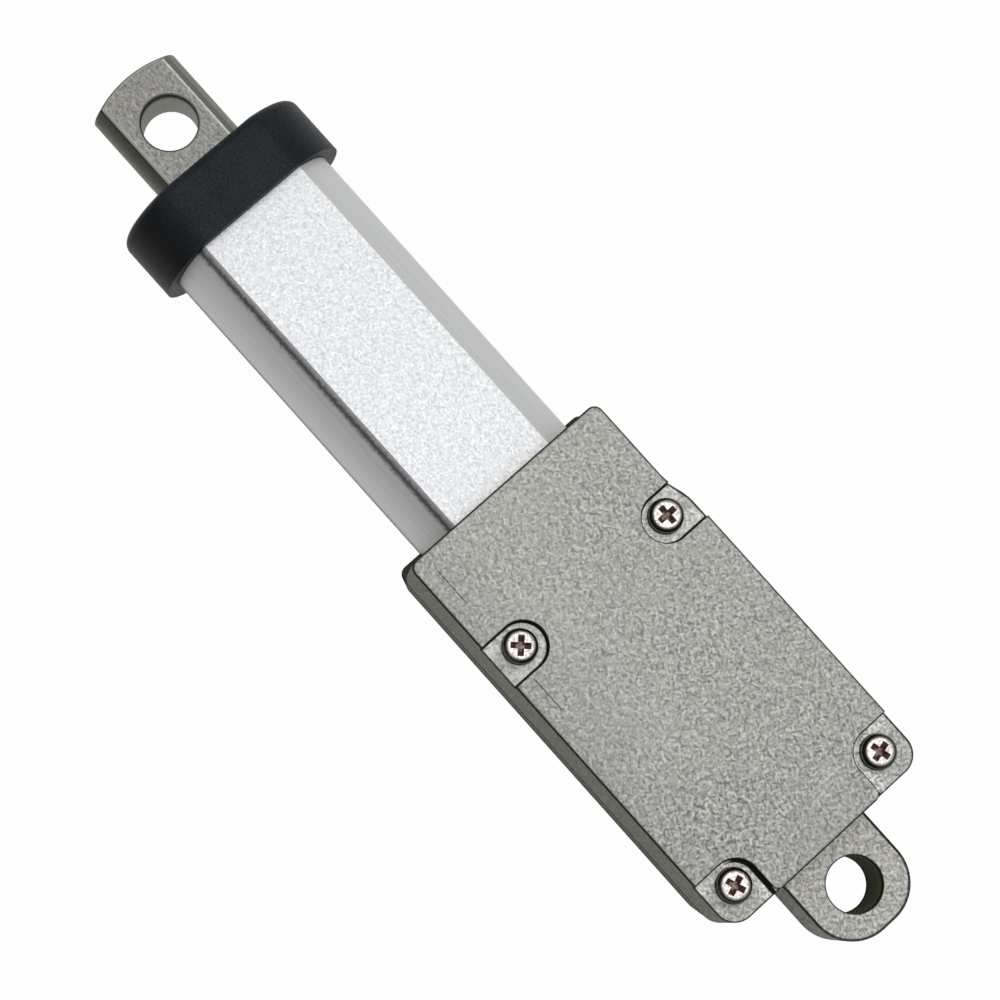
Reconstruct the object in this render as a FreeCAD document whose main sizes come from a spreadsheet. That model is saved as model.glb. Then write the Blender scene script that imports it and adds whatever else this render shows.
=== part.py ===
# Electric linear actuator: a geared motor turns a lead screw, which pushes a rod out of a flat-sided tube.
# The origin is the centre of the rear eye's bore. +X runs along the rod to its tip, and +Z stands out of
# the cover. Sizes are in millimetres, with the rod drawn in.
import FreeCAD
import Part
import Sketcher
import math
import os
import re

SIZES = [
    ("hole_pitch", 71, "rear eye to rod eye, rod drawn in"),
    ("eye_bore", 2.0, "radius of both mounting bores"),
    ("eye_half", 3.84, "half width of the rear eye"),
    ("eye_end", 3.6, "how far the rear eye reaches behind its bore"),
    ("eye_round", 3.3, "radius of the rear eye's two corners"),
    ("eye_thick", 5.66, "thickness of the rear eye"),
    ("case_rear", 3.56, "rear face of the castings at the parting plane"),
    ("case_front", 36.39, "front face of the castings at the parting plane"),
    ("case_left", 8.89, "half width on the +Y side"),
    ("case_right", 8.34, "half width on the -Y side, ahead of the swell"),
    ("case_swell", 8.91, "half width on the -Y side, behind the swell"),
    ("swell_start", 29.2, "X where the -Y side begins to swell"),
    ("swell_end", 27.4, "X where the swell is complete"),
    ("swell_round", 4.0, "radius of both bends of the swell"),
    ("cover_height", 7.0, "cover above the parting plane"),
    ("case_depth", 7.0, "housing below the parting plane"),
    ("cover_draft", 0.5, "degrees of draft on the cover's walls"),
    ("case_draft", 4, "degrees of draft on the housing's walls"),
    ("ledge", 0.02, "how far the housing stands out past the cover"),
    ("front_ledge", 0.48, "the same at the front"),
    ("front_corner", 0.7, "radius of the front upright corners"),
    ("rear_corner", 1.6, "radius of the cover's rear corners, and chamfer of the housing's"),
    ("cover_edge", 0.25, "radius round the cover's top"),
    ("case_edge", 0.6, "radius round the housing's underside"),
    ("screw_front", 27.35, "X of the front cover screws"),
    ("screw_rear", 5.9, "X of the rear cover screws"),
    ("screw_side", 6.7, "Y of the cover screws, both sides"),
    ("recess_half", 1.74, "half width of a front screw recess"),
    ("recess_front", 27.22, "X of the middle of a front recess"),
    ("recess_rear", 7.64, "X of the front end of a rear recess"),
    ("recess_inner", 4.85, "Y of the inner end of the recesses"),
    ("recess_depth", 0.85, "depth of a screw recess"),
    ("recess_round", 1.78, "radius of a front recess's inner end"),
    ("corner_round", 1.75, "radius of a rear recess's inner corner"),
    ("wall_lean", 0.05, "how far the draft sets the cover's wall back at the recesses"),
    ("tongue_round", 0.7, "radius of the tongue between the rear recesses"),
    ("shank", 0.7, "cover screw shank radius"),
    ("shank_depth", 4.5, "how far the screws reach below the parting plane"),
    ("head", 1.2, "cover screw head radius"),
    ("head_height", 1.05, "cover screw head height"),
    ("head_rim", 0.75, "height of the straight side of a screw head"),
    ("hole_play", 0.1, "play round a shank in the cover"),
    ("fit", 0.02, "play between pieces that sit in each other"),
    ("run", 0.05, "play round what turns or slides"),
    ("rear_wall", 5.0, "inner face of the rear wall"),
    ("tail_half", 4.4, "half width of the room behind the motor"),
    ("tail_height", 4.2, "half height of the rooms beside the screws"),
    ("room_rear", 7.7, "rear end of the motor and gear room"),
    ("room_front", 25.3, "front end of the motor and gear room"),
    ("room_half", 6.5, "half width of the motor and gear room"),
    ("room_height", 5.0, "half height of the motor and gear room"),
    ("neck_half", 4.7, "half width of the room between the front screws"),
    ("neck_front", 28.2, "front end of that room"),
    ("bearing_rear", 28.3, "rear face of the screw bearing"),
    ("bearing_width", 2.5, "width of the screw bearing"),
    ("bearing_outer", 3.5, "outer radius of the screw bearing"),
    ("bearing_bore", 1.5, "bore radius of the screw bearing"),
    ("ring_gap_low", 2.15, "outer radius of the inner ring"),
    ("ring_gap_high", 2.85, "inner radius of the outer ring"),
    ("ball", 0.5, "ball radius"),
    ("ball_count", 7, "balls in the bearing"),
    ("passage", 2.5, "radius of the way through for the screw's collar"),
    ("socket_rear", 31.2, "bottom of the socket that holds the tube"),
    ("gasket_thick", 0.3, "thickness of the gasket behind the tube"),
    ("tube_front", 62.2, "front end of the tube"),
    ("tube_flat", 4.8, "half height of the tube, across its flats"),
    ("tube_wall", 0.7, "tube wall"),
    ("side_radius", 5.88, "radius of the tube's round sides"),
    ("side_centre", 0.92, "how far off the axis those sides are struck"),
    ("cap_front", 67.05, "front face of the cap"),
    ("cap_proud", 0.85, "how far the cap stands out past the tube's flats"),
    ("cap_side", 6.08, "radius of the cap's round sides"),
    ("cap_centre", 1.81, "how far off the axis those sides are struck"),
    ("cap_ridge", 1.8, "radius where the cap's flats meet its sides"),
    ("cap_edge", 0.7, "radius of the cap's front edge"),
    ("spigot_rear", 58.6, "rear end of the cap's spigot"),
    ("spigot_play", 0.15, "play round the rod in the cap's spigot"),
    ("bush_rear", 62.6, "rear end of the rod bush"),
    ("bush_front", 65.4, "front end of the rod bush"),
    ("bush_outer", 4.5, "outer radius of the rod bush"),
    ("wiper_outer", 4.9, "outer radius of the rod wiper"),
    ("wiper_front", 66.85, "front face of the rod wiper"),
    ("wiper_lip", 0.6, "slope of the wiper's lip"),
    ("rod", 3.72, "rod radius"),
    ("rod_flat", 2.25, "half thickness across the rod's flats"),
    ("flat_chamfer", 0.15, "chamfer round the rod's flats and bore"),
    ("flat_start", 67.25, "where the rod's flats begin"),
    ("tip_reach", 4.67, "rod eye centre to the top of the rod's dome"),
    ("tip_dome", 8.5, "radius of the dome on the rod's tip"),
    ("rod_rear", 34.2, "rear end of the rod"),
    ("rod_spigot", 2.9, "radius of the rod's end in the nut"),
    ("rod_hollow", 2.2, "radius of the hollow in the rod"),
    ("rod_hollow_end", 60.5, "front end of that hollow"),
    ("nut_rear", 32.2, "rear face of the lead nut"),
    ("nut_front", 37.2, "front face of the lead nut"),
    ("nut_play", 0.12, "play between the nut and the tube"),
    ("screw", 1.97, "outer radius of the lead screw"),
    ("screw_end", 59.0, "front end of the lead screw"),
    ("collar", 2.2, "radius of the screw's thrust collar"),
    ("collar_front", 31.4, "front face of the thrust collar"),
    ("journal", 0.98, "radius of the screw's gear seat"),
    ("journal_rear", 25.0, "rear end of the screw"),
    ("clip_rear", 28.0, "rear face of the retaining clip"),
    ("clip_thick", 0.2, "thickness of the retaining clip"),
    ("clip_outer", 1.9, "outer radius of the retaining clip"),
    ("tooth_module", 0.2, "gear module"),
    ("pressure_angle", 20, "degrees"),
    ("pinion_teeth", 10, "teeth on each pinion"),
    ("wheel_teeth", 28, "teeth on each wheel"),
    ("tooth_shift", 0.3, "profile shift, plus on pinions and minus on wheels"),
    ("tooth_head", 0.9, "addendum in modules"),
    ("tooth_foot", 1.25, "dedendum in modules"),
    ("tooth_play", 0.03, "how much each tooth is thinned"),
    ("idler_angle", 30, "degrees above and below +Y where the idlers stand"),
    ("first_rear", 21.8, "rear face of the first pair of gears"),
    ("first_front", 23.2, "front face of the first pair"),
    ("second_rear", 23.5, "rear face of the second pair"),
    ("second_front", 24.9, "front face of the second pair"),
    ("third_rear", 25.2, "rear face of the third pair"),
    ("third_front", 26.8, "front face of the third pair"),
    ("pin", 0.5, "radius of the idler pins"),
    ("plate_half", 6.0, "half width of the rear gear plate"),
    ("plate_thick", 0.6, "thickness of the rear gear plate"),
    ("bridge_thick", 0.8, "thickness of the front gear plate"),
    ("bridge_hole", 2.1, "radius of the hole in the front gear plate"),
    ("motor_front", 21.0, "front face of the motor"),
    ("can_rear", 7.8, "rear end of the motor can"),
    ("can", 6.0, "outer radius of the motor can"),
    ("can_wall", 0.5, "wall of the motor can"),
    ("bell_rear", 6.7, "rear face of the motor's end bell"),
    ("bell_plug", 0.8, "how far the end bell plugs into the can"),
    ("bush", 1.5, "outer radius of the motor bushes"),
    ("bush_front_end", 21.5, "front end of the front motor bush"),
    ("bush_length", 1.5, "length of a motor bush"),
    ("magnet_inner", 4.3, "inner radius of the magnets"),
    ("magnet_rear", 10.0, "rear end of the magnets"),
    ("magnet_front", 19.0, "front end of the magnets"),
    ("magnet_spread", 40, "half angle of a magnet in degrees"),
    ("shaft", 0.5, "motor shaft radius"),
    ("shaft_front", 23.4, "front end of the motor shaft"),
    ("armature", 4.1, "radius over the armature's poles"),
    ("armature_rear", 10.5, "rear face of the armature"),
    ("armature_front", 18.5, "front face of the armature"),
    ("pole_count", 3, "poles on the armature"),
    ("pole_neck", 0.8, "half width of a pole's neck"),
    ("pole_shoe", 3.1, "radius under a pole's shoe"),
    ("pole_half", 2.9, "half width of a pole's shoe"),
    ("hub", 1.5, "radius of the armature's hub"),
    ("commutator", 1.3, "commutator radius"),
    ("commutator_rear", 9.0, "rear end of the commutator"),
    ("commutator_front", 10.3, "front end of the commutator"),
    ("tab_rear", 5.6, "rear end of the motor's terminals"),
    ("tab_side", 2.6, "distance of a terminal from the axis"),
    ("tab_thick", 0.3, "thickness of a terminal"),
    ("tab_width", 1.4, "width of a terminal"),
    ("board_rear", 32.6, "rear end of the limit switch board"),
    ("board_front", 58.4, "front end of the limit switch board"),
    ("board_inner", 4.75, "inner face of the board"),
    ("board_outer", 5.35, "outer face of the board"),
    ("board_half", 2.18, "half height of the board"),
    ("switch_length", 2.4, "length of a limit switch"),
    ("switch_half", 1.3, "half height of a limit switch"),
    ("switch_inner", 4.1, "inner face of the limit switches"),
    ("switch_low", 33.0, "rear end of the rear limit switch"),
    ("switch_high", 54.5, "rear end of the front limit switch"),
    ("slot_inner", 3.8, "bottom of the slot in the nut that clears the board"),
    ("slot_half", 2.45, "half height of that slot"),
    ("inlet_x", 10.5, "X of the wire inlet"),
    ("inlet_z", -2.9, "Z of the wire inlet"),
    ("inlet", 1.5, "radius of the wire inlet"),
    ("inlet_bore", 0.9, "bore of the grommet"),
    ("inlet_depth", 2.3, "length of the grommet"),
    ("inlet_face", 8.7, "outer face of the grommet"),
]

SHAPE_TOLERANCE = 1e-6
BOX_TOLERANCE = 0.005
CORNER_REACH = 0.8
OVERRUN = 1.0
FULL_TURN = 360
FORWARD = FreeCAD.Rotation(FreeCAD.Vector(0, 1, 0), 90)
UPRIGHT = FreeCAD.Rotation(FreeCAD.Vector(0, 1, 0), -90)
SIDEWAYS = FreeCAD.Rotation(FreeCAD.Vector(0, 0, 1), -90)

doc = FreeCAD.newDocument("linear_actuator")
sheet = doc.addObject("Spreadsheet::Sheet", "Sizes")
for row, (alias, number, note) in enumerate(SIZES, start=1):
    sheet.set(f"A{row}", alias)
    sheet.set(f"B{row}", str(number))
    sheet.set(f"C{row}", note)
    sheet.setAlias(f"B{row}", alias)
doc.recompute()

nodes = {}


def cells(formula):
    """Puts the sheet's name before each alias in a formula."""
    return re.sub(r"[a-z][a-z_]+(?!\w*\()", lambda found: "Sizes." + found.group(), formula)


def value(formula):
    """The number that a formula gives now."""
    result = sheet.evalExpression(cells(formula))
    return float(getattr(result, "Value", result))


def bind(item, **formulas):
    """Ties properties of an object to formulas of the sheet."""
    for name, formula in formulas.items():
        item.setExpression(name.replace("__", "."), cells(formula))


def place(item, x="0", y="0", z="0", turn=None):
    """Puts an object at a point given by formulas."""
    if turn:
        item.Placement = FreeCAD.Placement(FreeCAD.Vector(), turn)
    bind(item, Placement__Base__x=x, Placement__Base__y=y, Placement__Base__z=z)
    return item


def keep(item, name):
    """Names an object as a sub-part that is handed on."""
    item.Label = name
    nodes[name] = item
    return item


def new_body(name):
    return doc.addObject("PartDesign::Body", name)


def new_sketch(body, plane, offset="0"):
    """A sketch on one of the body's own planes, moved along the plane's normal."""
    sketch = body.newObject("Sketcher::SketchObject", body.Name + "_sketch")
    support = next(f for f in body.Origin.OriginFeatures if f.Role == plane)
    sketch.AttachmentSupport = (support, [""])
    sketch.MapMode = "FlatFace"
    bind(sketch, AttachmentOffset__Base__z=offset)
    return sketch


def arc_between(start, end, radius):
    """The short arc from start to end. It bulges to the right of the way if the radius is positive."""
    chord = end - start
    side = FreeCAD.Vector(chord.y, -chord.x, 0).normalize() * math.copysign(1, radius)
    half = chord.Length / 2
    sagitta = abs(radius) - math.sqrt(max(radius * radius - half * half, 0))
    return Part.Arc(start, (start + end) / 2 + side * sagitta, end)


def outline(sketch, corners, arcs=None):
    """Draws a closed outline with every corner tied to the sheet.

    arcs maps the number of a side to its radius, positive where the side bulges to the right of the way.
    """
    arcs = arcs or {}
    points = [FreeCAD.Vector(value(x), value(y), 0) for x, y in corners]
    ends = []
    for number, start in enumerate(points):
        end = points[(number + 1) % len(points)]
        if number in arcs:
            side = sketch.addGeometry(arc_between(start, end, value(arcs[number])), False)
        else:
            side = sketch.addGeometry(Part.LineSegment(start, end), False)
        forward = sketch.getPoint(side, 1).isEqual(start, SHAPE_TOLERANCE)
        ends.append((side, 1, 2) if forward else (side, 2, 1))
    for number, (x, y) in enumerate(corners):
        side, first, last = ends[number]
        before, unused, before_last = ends[number - 1]
        sketch.addConstraint(Sketcher.Constraint("Coincident", before, before_last, side, first))
        for kind, formula in (("DistanceX", x), ("DistanceY", y)):
            rule = sketch.addConstraint(Sketcher.Constraint(kind, -1, 1, side, first, value(formula)))
            sketch.setExpression(f"Constraints[{rule}]", cells(formula))
    for number, radius in arcs.items():
        rule = sketch.addConstraint(Sketcher.Constraint("Radius", ends[number][0], abs(value(radius))))
        sketch.setExpression(f"Constraints[{rule}]", cells(radius.lstrip("-")))
    return sketch


def ring(sketch, radius, x="0", y="0"):
    """Draws a circle with its centre and radius tied to the sheet."""
    centre = FreeCAD.Vector(value(x), value(y), 0)
    circle = sketch.addGeometry(Part.Circle(centre, FreeCAD.Vector(0, 0, 1), value(radius)), False)
    for kind, formula in (("DistanceX", x), ("DistanceY", y)):
        rule = sketch.addConstraint(Sketcher.Constraint(kind, -1, 1, circle, 3, value(formula)))
        sketch.setExpression(f"Constraints[{rule}]", cells(formula))
    rule = sketch.addConstraint(Sketcher.Constraint("Radius", circle, value(radius)))
    sketch.setExpression(f"Constraints[{rule}]", cells(radius))
    return sketch


def box_corners(x_low, x_high, y_low, y_high):
    return [(x_low, y_low), (x_high, y_low), (x_high, y_high), (x_low, y_high)]


def pad(body, sketch, length, back=False, both=False):
    """Pads a sketch along its normal, against it, or half to each side."""
    feature = body.newObject("PartDesign::Pad", body.Name + "_pad")
    feature.Profile = sketch
    feature.Reversed = back
    feature.SideType = "Symmetric" if both else "One side"
    bind(feature, Length=length)
    return feature


def cut(body, sketch, length, along=False, both=False):
    """Cuts a sketch out of the body against its normal, along it, or half to each side."""
    doc.recompute()
    before = body.Shape.Volume
    feature = body.newObject("PartDesign::Pocket", body.Name + "_cut")
    feature.Profile = sketch
    feature.Reversed = along
    feature.SideType = "Symmetric" if both else "One side"
    bind(feature, Length=length)
    doc.recompute()
    if not feature.Shape.Volume < before:
        raise ValueError(f"{body.Name}: a pocket cut nothing")
    return feature


def edges_where(feature, test):
    """The names of a feature's edges that pass a test."""
    doc.recompute()
    return [f"Edge{number}" for number, edge in enumerate(feature.Shape.Edges, start=1) if test(edge)]


def round_edges(body, radius, test, kind="Fillet"):
    """Rounds or chamfers the edges of the body's last feature that pass a test."""
    base = body.Tip
    names = edges_where(base, test)
    if not names:
        raise ValueError(f"{body.Name}: no edge to round")
    feature = body.newObject("PartDesign::" + kind, body.Name + "_round")
    feature.Base = (base, names)
    bind(feature, **{"Radius" if kind == "Fillet" else "Size": radius})
    doc.recompute()
    return feature


def edge_near(x, y):
    """A test for the upright edge whose middle is nearest to a point seen from above."""

    def test(edge):
        low, high = edge.BoundBox.ZMin, edge.BoundBox.ZMax
        middle = edge.BoundBox.Center
        upright = high - low > max(edge.BoundBox.XLength, edge.BoundBox.YLength)
        return upright and math.hypot(middle.x - value(x), middle.y - value(y)) < CORNER_REACH

    return test


def edges_at(height):
    """A test for the edges that lie at one height."""

    def test(edge):
        level = value(height)
        return max(abs(edge.BoundBox.ZMin - level), abs(edge.BoundBox.ZMax - level)) < BOX_TOLERANCE

    return test


def turned(name, corners, arcs=None):
    """A turned piece: its half outline, in X and radius, goes round the X axis."""
    body = new_body(name)
    sketch = outline(new_sketch(body, "XY_Plane"), corners, arcs)
    feature = body.newObject("PartDesign::Revolution", name + "_turn")
    feature.Profile = sketch
    feature.ReferenceAxis = (sketch, ["H_Axis"])
    feature.Angle = FULL_TURN
    return body


def sleeve(name, rear, front, inner, outer):
    """A plain ring on the X axis."""
    return turned(name, box_corners(rear, front, inner, outer))


def group(name, items):
    """Several separate solids as one sub-part."""
    compound = doc.addObject("Part::Compound", name)
    compound.Links = items
    return keep(compound, name)


def flat_sided(sketch, flat, radius, centre):
    """A section that is flat above and below and round at both sides, the sides struck off the axis."""
    edge = f"{centre} + sqrt(({radius})^2 - ({flat})^2)"
    corners = [(f"-({edge})", f"-({flat})"), (edge, f"-({flat})"), (edge, flat), (f"-({edge})", flat)]
    return outline(sketch, corners, {1: radius, 3: radius})


def tube_section(sketch, grow="0"):
    """The tube's outer section, offset by a formula."""
    return flat_sided(sketch, f"tube_flat + {grow}", f"(side_radius + {grow})", "side_centre")


def half_casting(name, up):
    """One half of the gearbox: a drafted block, rounded, hollowed for the motor, the gears and the tube."""
    body = new_body(name)
    step, front_step = ("0", "0") if up else ("ledge", "front_ledge")
    front = f"case_front + {front_step}"
    rear = f"case_rear - {step}"
    left = f"case_left + {step}"
    right = f"-case_right - {step}"
    swell = f"-case_swell - {step}"
    corners = [(front, right), (front, left), (rear, left), (rear, swell), ("swell_end", swell)]
    sketch = outline(new_sketch(body, "XY_Plane"), corners + [("swell_start", right)])
    block = pad(body, sketch, "cover_height" if up else "case_depth", back=not up)
    bind(block, TaperAngle="-cover_draft" if up else "-case_draft")
    round_edges(body, "front_corner", edge_near(front, right))
    round_edges(body, "front_corner", edge_near(front, left))
    for side in (left, swell):
        round_edges(body, "rear_corner", edge_near(rear, side), "Fillet" if up else "Chamfer")
    round_edges(body, "swell_round", edge_near("swell_end", swell))
    round_edges(body, "swell_round", edge_near("swell_start", right))
    if up:
        round_edges(body, "cover_edge", edges_at("cover_height"))
    else:
        round_edges(body, "case_edge", edges_at("-case_depth"))
    rooms = [
        ("rear_wall", "room_rear", "tail_half", "tail_height"),
        ("room_rear", "room_front", "room_half", "room_height"),
        ("room_front", "neck_front", "neck_half", "tail_height"),
    ]
    for room_rear, room_front, half, height in rooms:
        floor = outline(new_sketch(body, "XY_Plane"), box_corners(room_rear, room_front, f"-{half}", half))
        cut(body, floor, height, along=up)
    seat_front = "bearing_rear + bearing_width + run"
    bores = [("neck_front", seat_front, "bearing_outer"), (seat_front, "socket_rear", "passage")]
    for start, end, radius in bores:
        cut(body, ring(new_sketch(body, "YZ_Plane", start), radius), f"{end} - ({start})", along=True)
    socket = tube_section(new_sketch(body, "YZ_Plane", "socket_rear"), "fit")
    cut(body, socket, f"case_front + {OVERRUN} - socket_rear", along=True)
    return body


def screw_places():
    """X and Y of the four cover screws."""
    return [(x, y) for x in ("screw_front", "screw_rear") for y in ("screw_side", "-screw_side")]


def mirrored(corners, arcs, sign):
    """The same outline on the +Y side, or on the -Y side where sign is a minus."""
    if not sign:
        return corners, arcs
    turned_over = {side: radius[1:] if radius[0] == "-" else "-" + radius for side, radius in arcs.items()}
    return [(x, f"-({y})") for x, y in corners], turned_over


def screw_recesses():
    """Outlines of a front recess, a U open to the side, and a rear one, open to the side and the rear."""
    outer = f"case_swell + {OVERRUN}"
    low, high = "recess_front - recess_half", "recess_front + recess_half"
    bend = "recess_inner + recess_round - sqrt(recess_round^2 - recess_half^2)"
    yield [(high, outer), (low, outer), (low, bend), (high, bend)], {2: "recess_round"}
    behind = f"case_rear - {OVERRUN}"
    face = "case_rear + wall_lean"
    root = "recess_inner - tongue_round"
    corners = [
        (behind, outer), (behind, root), (face, root), (f"{face} + tongue_round", "recess_inner"),
        ("recess_rear - corner_round", "recess_inner"), ("recess_rear", "recess_inner + corner_round"),
        ("recess_rear", outer),
    ]
    yield corners, {2: "-tongue_round", 4: "corner_round"}


def gearbox_cover():
    """Upper casting, with a recess over each screw and a notch round the root of the eye."""
    body = half_casting("gearbox_cover", up=True)
    for sign in ("", "-"):
        for corners, arcs in screw_recesses():
            corners, arcs = mirrored(corners, arcs, sign)
            cut(body, outline(new_sketch(body, "XY_Plane", "cover_height"), corners, arcs), "recess_depth")
    for x, y in screw_places():
        cut(body, ring(new_sketch(body, "XY_Plane"), "shank + hole_play", x, y), "cover_height", along=True)
    half = "eye_half + fit"
    notch = box_corners(f"case_rear - {OVERRUN}", "rear_wall", f"-({half})", half)
    cut(body, outline(new_sketch(body, "XY_Plane"), notch), "eye_thick / 2 + fit", along=True)
    return keep(body, "gearbox_cover")


def gearbox_housing():
    """Lower casting, with the rear eye, the threaded holes and the wire inlet."""
    body = half_casting("gearbox_housing", up=False)
    lug = box_corners("-eye_end", "rear_wall", "-eye_half", "eye_half")
    pad(body, outline(new_sketch(body, "XY_Plane"), lug), "eye_thick", both=True)
    for side in ("eye_half", "-eye_half"):
        round_edges(body, "eye_round", edge_near("-eye_end", side))
    cut(body, ring(new_sketch(body, "XY_Plane"), "eye_bore"), f"eye_thick + {OVERRUN}", both=True)
    for x, y in screw_places():
        cut(body, ring(new_sketch(body, "XY_Plane"), "shank + fit", x, y), "shank_depth + fit")
    inlet = ring(new_sketch(body, "XZ_Plane", "inlet_face - inlet_depth"), "inlet", "inlet_x", "inlet_z")
    cut(body, inlet, f"inlet_depth + {OVERRUN}", along=True)
    return keep(body, "gearbox_housing")


def cover_screws():
    """Four pan head screws, seated in the recesses."""
    seat = "cover_height - recess_depth"
    top = f"{seat} + head_height"
    crown = f"head - ({top} - ({seat} + head_rim))"
    profile = [
        ("-shank_depth", "0"), ("-shank_depth", "shank"), (seat, "shank"), (seat, "head"),
        (f"{seat} + head_rim", "head"), (top, crown), (top, "0"),
    ]
    screws = []
    for number, (x, y) in enumerate(screw_places(), start=1):
        screws.append(place(turned(f"cover_screw_{number}", profile), x, y, turn=UPRIGHT))
    return group("cover_screws", screws)


def tube_and_cap():
    """The tube, its gasket, the front cap, and the bush and wiper that the rod runs in."""
    pieces = [
        ("outer_tube", "socket_rear + gasket_thick", "tube_front - socket_rear - gasket_thick"),
        ("tube_gasket", "socket_rear", "gasket_thick"),
    ]
    for name, rear, length in pieces:
        body = new_body(name)
        section = tube_section(new_sketch(body, "YZ_Plane", rear))
        pad(body, tube_section(section, "-tube_wall"), length)
        keep(body, name)

    cap = new_body("front_cap")
    section = flat_sided(
        new_sketch(cap, "YZ_Plane", "tube_front"), "tube_flat + cap_proud", "cap_side", "cap_centre"
    )
    pad(cap, section, "cap_front - tube_front")
    round_edges(cap, "cap_ridge", lambda edge: edge.BoundBox.XLength > value("cap_front - tube_front") / 2)
    round_edges(cap, "cap_edge", lambda edge: edge.BoundBox.XMin > value("cap_front - cap_edge"))
    plug = tube_section(new_sketch(cap, "YZ_Plane", "tube_front"), "-tube_wall - fit")
    pad(cap, plug, "tube_front - spigot_rear", back=True)
    bores = [
        ("spigot_rear", "rod + spigot_play"),
        ("bush_rear", "bush_outer"),
        ("bush_front", "wiper_outer"),
    ]
    for start, radius in bores:
        cut(cap, ring(new_sketch(cap, "YZ_Plane", start), radius), f"cap_front - {start}", along=True)
    keep(cap, "front_cap")

    keep(sleeve("rod_bush", "bush_rear", "bush_front", "rod + run", "bush_outer - fit"), "rod_bush")
    rim = "wiper_outer - fit"
    lip = [
        ("bush_front", "rod + wiper_lip"), ("bush_front", rim), ("wiper_front", rim),
        ("wiper_front", "rod + run"), ("wiper_front - wiper_lip / 2", "rod + run"),
    ]
    keep(turned("rod_wiper", lip), "rod_wiper")


def flat_rim(height):
    """A test for the edges of a flat on the rod and its bore, apart from its end at the shoulder."""
    at_height = edges_at(height)

    def test(edge):
        return at_height(edge) and edge.BoundBox.XMax > value("flat_start") + BOX_TOLERANCE

    return test


def push_rod():
    """Hollow rod with a domed tip, two flats and a cross bore at its eye."""
    tip = "hole_pitch + tip_reach"
    across = f"2 * rod + {OVERRUN}"
    shoulder = f"{tip} - tip_dome + sqrt(tip_dome^2 - rod^2)"
    profile = [
        ("rod_rear", "rod_hollow"), ("rod_hollow_end", "rod_hollow"), ("rod_hollow_end", "0"), (tip, "0"),
        (shoulder, "rod"), ("nut_front", "rod"), ("nut_front", "rod_spigot"), ("rod_rear", "rod_spigot"),
    ]
    body = turned("push_rod", profile, {3: "tip_dome"})
    for sign in ("", "-"):
        flat = box_corners("flat_start", f"{tip} + {OVERRUN}", f"{sign}rod_flat", f"{sign}(rod + {OVERRUN})")
        cut(body, outline(new_sketch(body, "XZ_Plane"), flat), across, both=True)
    cut(body, ring(new_sketch(body, "XY_Plane"), "eye_bore", "hole_pitch"), across, both=True)
    for sign in ("", "-"):
        round_edges(body, "flat_chamfer", flat_rim(f"{sign}rod_flat"), "Chamfer")
    keep(body, "push_rod")


def lead_nut():
    """Nut in the tube's own section, so that it can't turn, slotted to clear the limit switch board."""
    body = new_body("lead_nut")
    section = tube_section(new_sketch(body, "YZ_Plane", "nut_rear"), "-tube_wall - nut_play")
    pad(body, section, "nut_front - nut_rear")
    for start, radius in (("nut_rear", "screw + run"), ("rod_rear", "rod_spigot + fit")):
        cut(body, ring(new_sketch(body, "YZ_Plane", start), radius), f"nut_front - {start}", along=True)
    slot = box_corners("slot_inner", "side_radius + side_centre", "-slot_half", "slot_half")
    cut(body, outline(new_sketch(body, "YZ_Plane", "nut_rear"), slot), "nut_front - nut_rear", along=True)
    keep(body, "lead_nut")


def lead_screw():
    """Lead screw with its thrust collar, bearing seat and gear seat, and the clip behind the bearing."""
    seat = "bearing_rear - run"
    collar = "bearing_rear + bearing_width"
    profile = [
        ("journal_rear", "0"), ("journal_rear", "journal"), (seat, "journal"), (seat, "bearing_bore - fit"),
        (collar, "bearing_bore - fit"), (collar, "collar"), ("collar_front", "collar"),
        ("collar_front", "screw"), ("screw_end", "screw"), ("screw_end", "0"),
    ]
    keep(turned("lead_screw", profile), "lead_screw")
    clip = sleeve("screw_clip", "clip_rear", "clip_rear + clip_thick", "journal + fit", "clip_outer")
    keep(clip, "screw_clip")


def screw_bearing():
    """Ball bearing: two grooved rings and the balls between them."""
    front = "bearing_rear + bearing_width"
    middle = "bearing_rear + bearing_width / 2"
    pitch = "(ring_gap_low + ring_gap_high) / 2"
    groove = "(ball + fit)"
    depth = f"({pitch} - ring_gap_low)"
    half = f"sqrt({groove}^2 - {depth}^2)"
    rings = [
        ("bearing_inner_ring", "bearing_bore", "ring_gap_low", "-"),
        ("bearing_outer_ring", "bearing_outer - fit", "ring_gap_high", ""),
    ]
    for name, plain, grooved, hollow in rings:
        profile = [
            ("bearing_rear", plain), (front, plain), (front, grooved), (f"{middle} + {half}", grooved),
            (f"{middle} - {half}", grooved), ("bearing_rear", grooved),
        ]
        keep(turned(name, profile, {3: hollow + groove}), name)
    balls = []
    count = int(value("ball_count"))
    for number in range(count):
        sphere = doc.addObject("Part::Sphere", f"ball_{number + 1}")
        bind(sphere, Radius="ball")
        angle = f"{number} * {FULL_TURN} / ball_count"
        place(sphere, middle, f"{pitch} * cos({angle})", f"{pitch} * sin({angle})")
        balls.append(sphere)
    group("bearing_balls", balls)


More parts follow.
